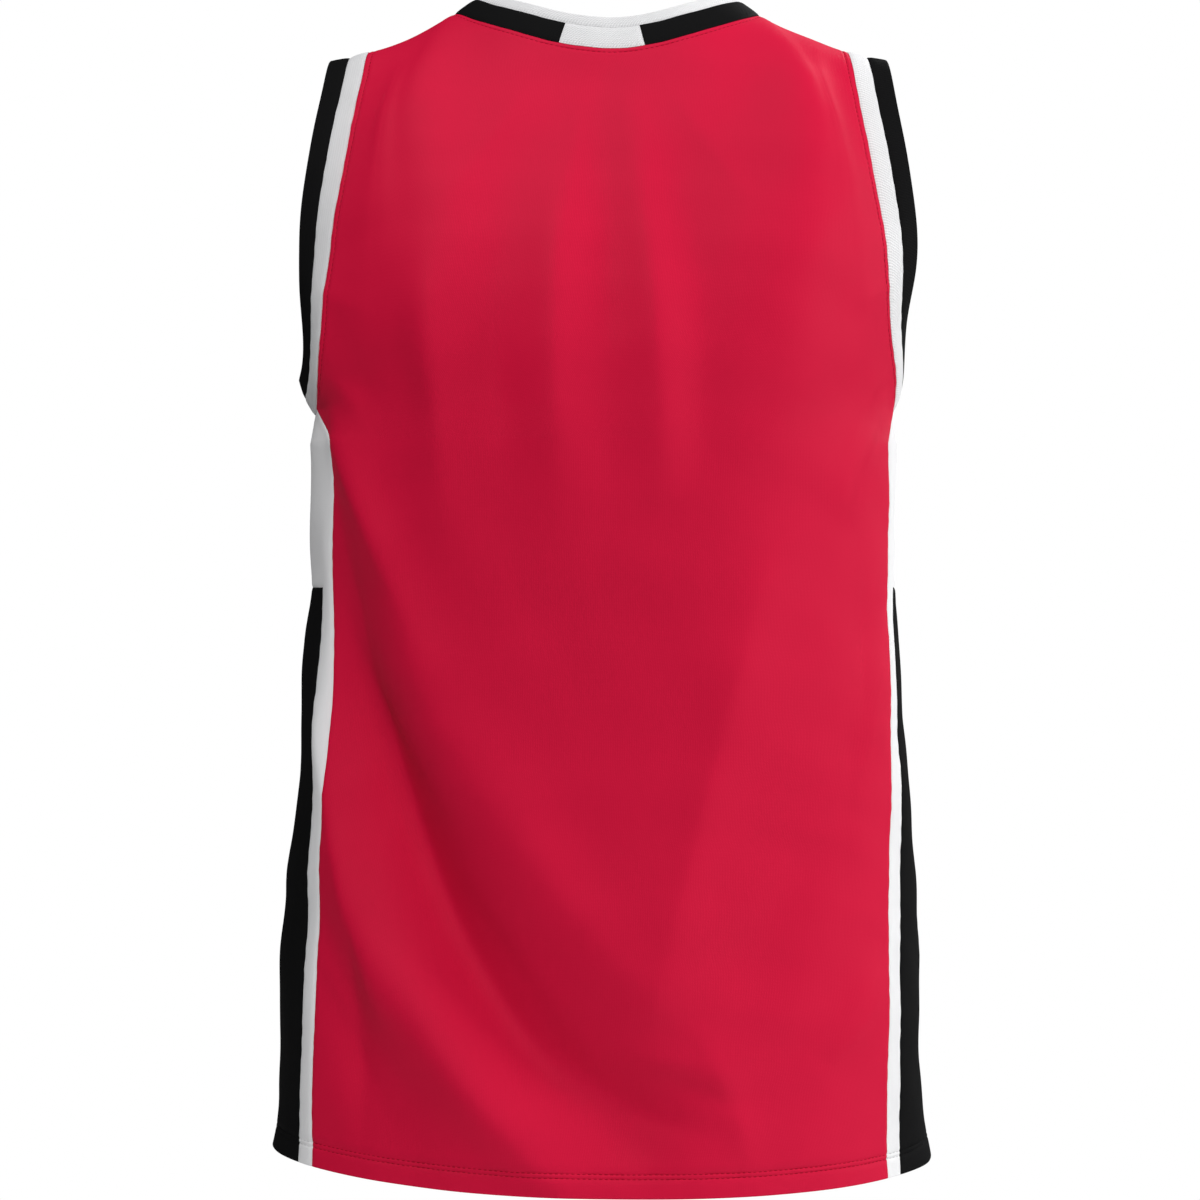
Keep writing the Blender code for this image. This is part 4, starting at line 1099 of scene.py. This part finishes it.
def sew_all(pieces, materials):
    """All rows of stitching: beside the neck and the armholes, and two rows above the hem."""
    neck, arms, hems = [], [], {"red": [], "white": [], "black": []}
    for name in ("back", "front"):
        place, normal = inset(pieces[name], NECK_STITCH, "top")
        neck.append((place[ON_NECK], normal[ON_NECK]))
        for side in ("left", "right"):
            place, normal = inset(pieces[name], ARM_STITCH, side)
            part = slice(BELOW_ARM, -UNSTITCHED)
            arms.append((place[part], normal[part]))
    for height in HEM_STITCHES:
        for name in ("back", "front"):
            hems["red"].append(inset(pieces[name], height, "bottom"))
        for word in ("left", "right"):
            hems["black"].append(inset(pieces["insert_" + word], height, "bottom"))
            place, normal = inset(pieces["side_" + word], height, "bottom")
            for part in (slice(None, INSERT_FIRST + 1), slice(INSERT_LAST, None)):
                hems["white"].append((place[part], normal[part]))
    sew("stitching_neck", neck, materials["red_thread"])
    sew("stitching_armholes", arms, materials["red_thread"])
    for colour, lines in hems.items():
        sew("stitching_hem_" + colour, lines, materials[colour + "_thread"])


# ---- finishes ----
WALE = 0.0011                # width of a column of loops in the panels' knit, and height of a loop
COURSE = 0.0009
RIB = 0.0019                 # width of a rib of the strips, and height of its rows
RIB_ROW = 0.0016
PATCH_SCALE = 9.0            # soft patches of colour, to the metre, and how much they count
PATCH_SHARE = 0.9
THREAD_BANDS = 900.0         # slanted bands of the twisted thread, to the metre
MIX_SHARE, MIX_DARK, MIX_LIGHT, MIX_RESULT = 0, 6, 7, 2      # a Mix node's sockets for colours


def fill(tree, socket, value):
    """Link a socket to another node's output, or set its value."""
    if isinstance(value, bpy.types.NodeSocket):
        tree.links.new(value, socket)
    else:
        socket.default_value = value


def node(tree, kind, inputs=None, **settings):
    """Add a shader node with its settings and inputs."""
    made = tree.nodes.new(kind)
    for name, value in settings.items():
        setattr(made, name, value)
    for name, value in (inputs or {}).items():
        fill(tree, made.inputs[name], value)
    return made


def maths(tree, operation, *values):
    """A math node's result."""
    return node(tree, "ShaderNodeMath", dict(enumerate(values)), operation=operation).outputs[0]


def cloth_axes(tree):
    """Distances along and across the cloth, from its own map."""
    coords = node(tree, "ShaderNodeUVMap", uv_map="cloth")
    axes = node(tree, "ShaderNodeSeparateXYZ", {"Vector": coords.outputs["UV"]})
    return axes.outputs["X"], axes.outputs["Y"]


def knit_height(tree):
    """Loops of plain knit: along each wale a column of V shapes, two slanted legs to a loop."""
    across, along = cloth_axes(tree)
    column = maths(tree, "FRACT", maths(tree, "DIVIDE", across, WALE))
    from_middle = maths(tree, "ABSOLUTE", maths(tree, "SUBTRACT", column, 0.5))
    lift = maths(tree, "MULTIPLY_ADD", from_middle, 1.1, maths(tree, "DIVIDE", along, COURSE))
    leg = maths(tree, "SINE", maths(tree, "MULTIPLY", lift, 2 * math.pi))
    valley = maths(tree, "SINE", maths(tree, "MULTIPLY", column, math.pi))
    return maths(tree, "MULTIPLY_ADD", leg, 0.35, maths(tree, "MULTIPLY", valley, 0.65))


def rib_height(tree):
    """Ribs across the strip, a sine of 0.75, with the knit's rows over them, a sine of 0.25."""
    ribs, rows = (maths(tree, "SINE", maths(tree, "MULTIPLY", axis, 2 * math.pi / length))
                  for axis, length in zip(cloth_axes(tree), (RIB, RIB_ROW)))
    return maths(tree, "MULTIPLY_ADD", rows, 0.25, maths(tree, "MULTIPLY", ribs, 0.75))


def new_material(name, **values):
    """A material with a Principled shader, whose sockets are set by their names."""
    made = bpy.data.materials.new(name)
    made.use_nodes = True
    shader = made.node_tree.nodes["Principled BSDF"]
    for socket, value in values.items():
        shader.inputs[socket.replace("_", " ")].default_value = value
    return made, made.node_tree, shader


def cloth_material(name, light, dark, height, relief, roughness, sheen, gloss=0.12, hollow_shade=0.22):
    """Knit: painted shade makes the pattern's hollows a little darker, soft patches vary the tone at
    random, and it has a sheen.
    """
    made, tree, shader = new_material(name, Roughness=roughness, Specular_IOR_Level=gloss,
                                      Sheen_Weight=sheen, Sheen_Roughness=0.45)
    pattern = height(tree)
    patches = node(tree, "ShaderNodeTexNoise",
                   {"Vector": node(tree, "ShaderNodeTexCoord").outputs["Object"],
                    "Scale": PATCH_SCALE, "Detail": 3.0, "Roughness": 0.5})
    patch = maths(tree, "MULTIPLY", patches.outputs["Fac"], PATCH_SHARE)
    # Painted shade: the colour turns darker in the hollows of the knit or rib pattern; soft random
    # patches vary the tone as well.
    share = maths(tree, "MULTIPLY_ADD", pattern, hollow_shade, patch)
    share = node(tree, "ShaderNodeClamp", {"Value": share})
    colour = node(tree, "ShaderNodeMix", {MIX_DARK: (*dark, 1.0), MIX_LIGHT: (*light, 1.0),
                                          MIX_SHARE: share.outputs[0]}, data_type="RGBA")
    fill(tree, shader.inputs["Base Color"], colour.outputs[MIX_RESULT])
    bump = node(tree, "ShaderNodeBump", {"Height": pattern, "Strength": 0.5, "Distance": relief})
    fill(tree, shader.inputs["Normal"], bump.outputs["Normal"])
    return made


def thread_material(name, colour):
    """Twisted thread: fine slanted bands round a matt fibre."""
    made, tree, shader = new_material(name, Base_Color=(*colour, 1.0), Roughness=0.75,
                                      Specular_IOR_Level=0.08)
    coords = node(tree, "ShaderNodeTexCoord")
    bands = node(tree, "ShaderNodeTexWave", {"Vector": coords.outputs["Object"], "Scale": THREAD_BANDS},
                 bands_direction="DIAGONAL")
    bump = node(tree, "ShaderNodeBump", {"Height": bands.outputs["Fac"], "Strength": 0.4,
                                         "Distance": 0.0001})
    fill(tree, shader.inputs["Normal"], bump.outputs["Normal"])
    return made


def make_materials():
    """Body knit in red, white and black, rib in white and black, and three threads darkened with
    painted shade.
    """
    return {
        "red": cloth_material("red_body_knit", (0.63, 0.0036, 0.0425), (0.552, 0.0030, 0.0362),
                              knit_height, relief=0.00010, roughness=0.66, sheen=0.01),
        "white": cloth_material("white_body_knit", (0.83, 0.83, 0.84), (0.76, 0.76, 0.77),
                                knit_height, relief=0.00010, roughness=0.70, sheen=0.03),
        "black": cloth_material("black_body_knit", (0.0065, 0.0065, 0.0068), (0.0045, 0.0045, 0.0047),
                                knit_height, relief=0.00010, roughness=0.75, sheen=0.0, gloss=0.04),
        "white_rib": cloth_material("white_rib_knit", (0.86, 0.86, 0.87), (0.64, 0.64, 0.65),
                                    rib_height, relief=0.00025, roughness=0.75, sheen=0.02, gloss=0.08,
                                    hollow_shade=0.42),
        "black_rib": cloth_material("black_rib_knit", (0.0068, 0.0068, 0.0071),
                                    (0.0045, 0.0045, 0.0047), rib_height, relief=0.00014,
                                    roughness=0.75, sheen=0.0, gloss=0.04),
        # Each thread has the tone of the cloth it lies on, made darker as painted shade of the stitch
        # line.
        "red_thread": thread_material("red_thread", (0.34, 0.002, 0.018)),
        "white_thread": thread_material("white_thread", (0.62, 0.62, 0.63)),
        "black_thread": thread_material("black_thread", (0.004, 0.004, 0.0042)),
    }


# Each piece: the node it stands for, its finish, its material slot and the pieces that it hangs from
PIECES = {
    "back": ("back_panel", "red", "red_knit", ("front",)),
    "front": ("front_panel", "red", "red_knit", ("back",)),
    "side_left": ("side_panel_left", "white", "white_knit", ("back", "front")),
    "side_right": ("side_panel_right", "white", "white_knit", ("back", "front")),
    "insert_left": ("side_insert_left", "black", "black_knit", ("side_left",)),
    "insert_right": ("side_insert_right", "black", "black_knit", ("side_right",)),
    "armhole_white_left": ("armhole_inner_left", "white_rib", "white_knit", ("back", "front")),
    "armhole_white_right": ("armhole_inner_right", "white_rib", "white_knit", ("back", "front")),
    "armhole_black_left": ("armhole_outer_left", "black_rib", "black_knit", ("armhole_white_left",)),
    "armhole_black_right": ("armhole_outer_right", "black_rib", "black_knit", ("armhole_white_right",)),
    "neck_band": ("neck_band", "black_rib", "black_knit", ("back", "front")),
    "neck_block": ("neck_block", "white_rib", "white_knit", ("back",)),
    "neck_edge": ("neck_edge", "white_rib", "white_knit", ("neck_band",)),
}


# Bounds of a sheet's flat cut: its least length, and its least and most share of width x length
LEAST_LENGTH = 0.0102
LEAST_SHARE = 0.302
MOST_SHARE = 0.999


def cut_size(piece):
    """Flat size of a piece's cut: its longest row and column, and the area of its cells.

    The neck's 8 mm edge strip is cut 10 mm wide, the rest being inside its seam, and the U of a
    side panel has its least share.
    """
    points, cells = piece["points"], piece["cells"]
    closed = np.concatenate([points, points[:, :1]], axis=1) if piece["ring"] else points
    across = np.linalg.norm(np.diff(closed, axis=1), axis=-1)
    width = (np.minimum(across[1:], across[:-1]) * cells).sum(axis=1).max()
    if not piece["ring"]:
        width = max(width, (across[1:] * np.any(cells, axis=1)[:, None]).sum(axis=1).max())
    length = max(run(points, 0)[-1].max(), LEAST_LENGTH)
    diagonal = closed[1:, 1:] - closed[:-1, :-1]
    other = closed[1:, :-1] - closed[:-1, 1:]
    area = (np.linalg.norm(np.cross(diagonal, other), axis=-1) / 2 * cells).sum()
    area = np.clip(area, LEAST_SHARE * width * length, MOST_SHARE * width * length)
    return float(width), float(length), float(area)


def make_jersey():
    """Make every shell, hide the solid it stands for, and sew it."""
    pieces = make_pieces()
    materials = make_materials()
    for name, (cad_node, finish, slot, _) in PIECES.items():
        made = shell_object(name + "_cloth", pieces[name], materials[finish])
        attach(made, "root")
        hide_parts(cad_node)
    for name, (_, _, _, hangs_from) in PIECES.items():
        width, length, area = cut_size(pieces[name])
    sew_all(pieces, materials)


# ---- stage ----
CAMERA_DISTANCE = 2.0
CAMERA_HEIGHT = -0.3903
LENS = 89.55                 # focal length and sensor width in millimetres
SENSOR = 36.0
FLOOR_Z = -1.6
FLOOR_RADIUS = 3.0
FLOOR_SIDES = 96
AMBIENT = 0.03               # strength of the light from all round
LIGHT_SIZE = 1.2
LIGHT_TARGET = (0.0, 0.0, -0.35)
LIGHTS = {                   # place and power in watts
    "key": ((0.8, 2.1, 2.1), 75.0),
    "side": ((-3.0, 0.3, 0.6), 66.0),
    "top": ((0.0, 0.4, 3.0), 22.0),
    "low": ((-1.6, 2.0, -1.5), 24.0),
    "front": ((-2.1, -2.4, 1.6), 64.0),
}


def make_floor():
    """A plain pale round floor well below the hanging jersey."""
    turn = np.linspace(0.0, 2 * np.pi, FLOOR_SIDES, endpoint=False)
    points = stack(FLOOR_RADIUS * np.cos(turn), FLOOR_RADIUS * np.sin(turn), FLOOR_Z)
    mesh = bpy.data.meshes.new("floor")
    mesh.from_pydata(points.tolist(), [], [list(range(len(points)))])
    pale, _, _ = new_material("pale_floor", Base_Color=(0.90, 0.90, 0.90, 1.0), Roughness=0.9)
    mesh.materials.append(pale)
    floor = bpy.data.objects.new("floor", mesh)
    bpy.context.scene.collection.objects.link(floor)


def add_light(name, place, energy):
    """A square area light aimed at the middle of the jersey."""
    data = bpy.data.lights.new(name, "AREA")
    data.size = LIGHT_SIZE
    data.energy = energy
    made = bpy.data.objects.new(name, data)
    bpy.context.scene.collection.objects.link(made)
    aim = np.array(LIGHT_TARGET) - np.array(place)
    made.location = place
    flat = math.hypot(aim[0], aim[1])
    made.rotation_euler = (math.atan2(flat, -aim[2]), 0.0, math.atan2(-aim[0], aim[1]))


def make_world():
    """Soft white light from all round, with a white backdrop behind."""
    world = bpy.data.worlds.new("studio")
    bpy.context.scene.world = world
    world.use_nodes = True
    tree = world.node_tree
    tree.nodes.clear()
    light = node(tree, "ShaderNodeBackground", {"Color": (1.0, 1.0, 1.0, 1.0), "Strength": AMBIENT})
    backdrop = node(tree, "ShaderNodeBackground", {"Color": (1.0, 1.0, 1.0, 1.0), "Strength": 1.0})
    seen = node(tree, "ShaderNodeLightPath")
    both = node(tree, "ShaderNodeMixShader", {0: seen.outputs["Is Camera Ray"], 1: light.outputs[0],
                                              2: backdrop.outputs[0]})
    node(tree, "ShaderNodeOutputWorld", {"Surface": both.outputs[0]})


def make_stage():
    """Floor, lights and camera."""
    make_floor()
    make_world()
    for name, (place, energy) in LIGHTS.items():
        add_light(name, place, energy)
    camera = bpy.data.objects.new("camera", bpy.data.cameras.new("camera"))
    camera.data.lens = LENS
    camera.data.sensor_width = SENSOR
    camera.location = (0.0, CAMERA_DISTANCE, CAMERA_HEIGHT)
    camera.rotation_euler = (math.radians(90), 0.0, math.radians(180))
    bpy.context.scene.collection.objects.link(camera)
    bpy.context.scene.camera = camera
    bpy.context.scene.view_settings.view_transform = "Standard"


make_jersey()
make_stage()
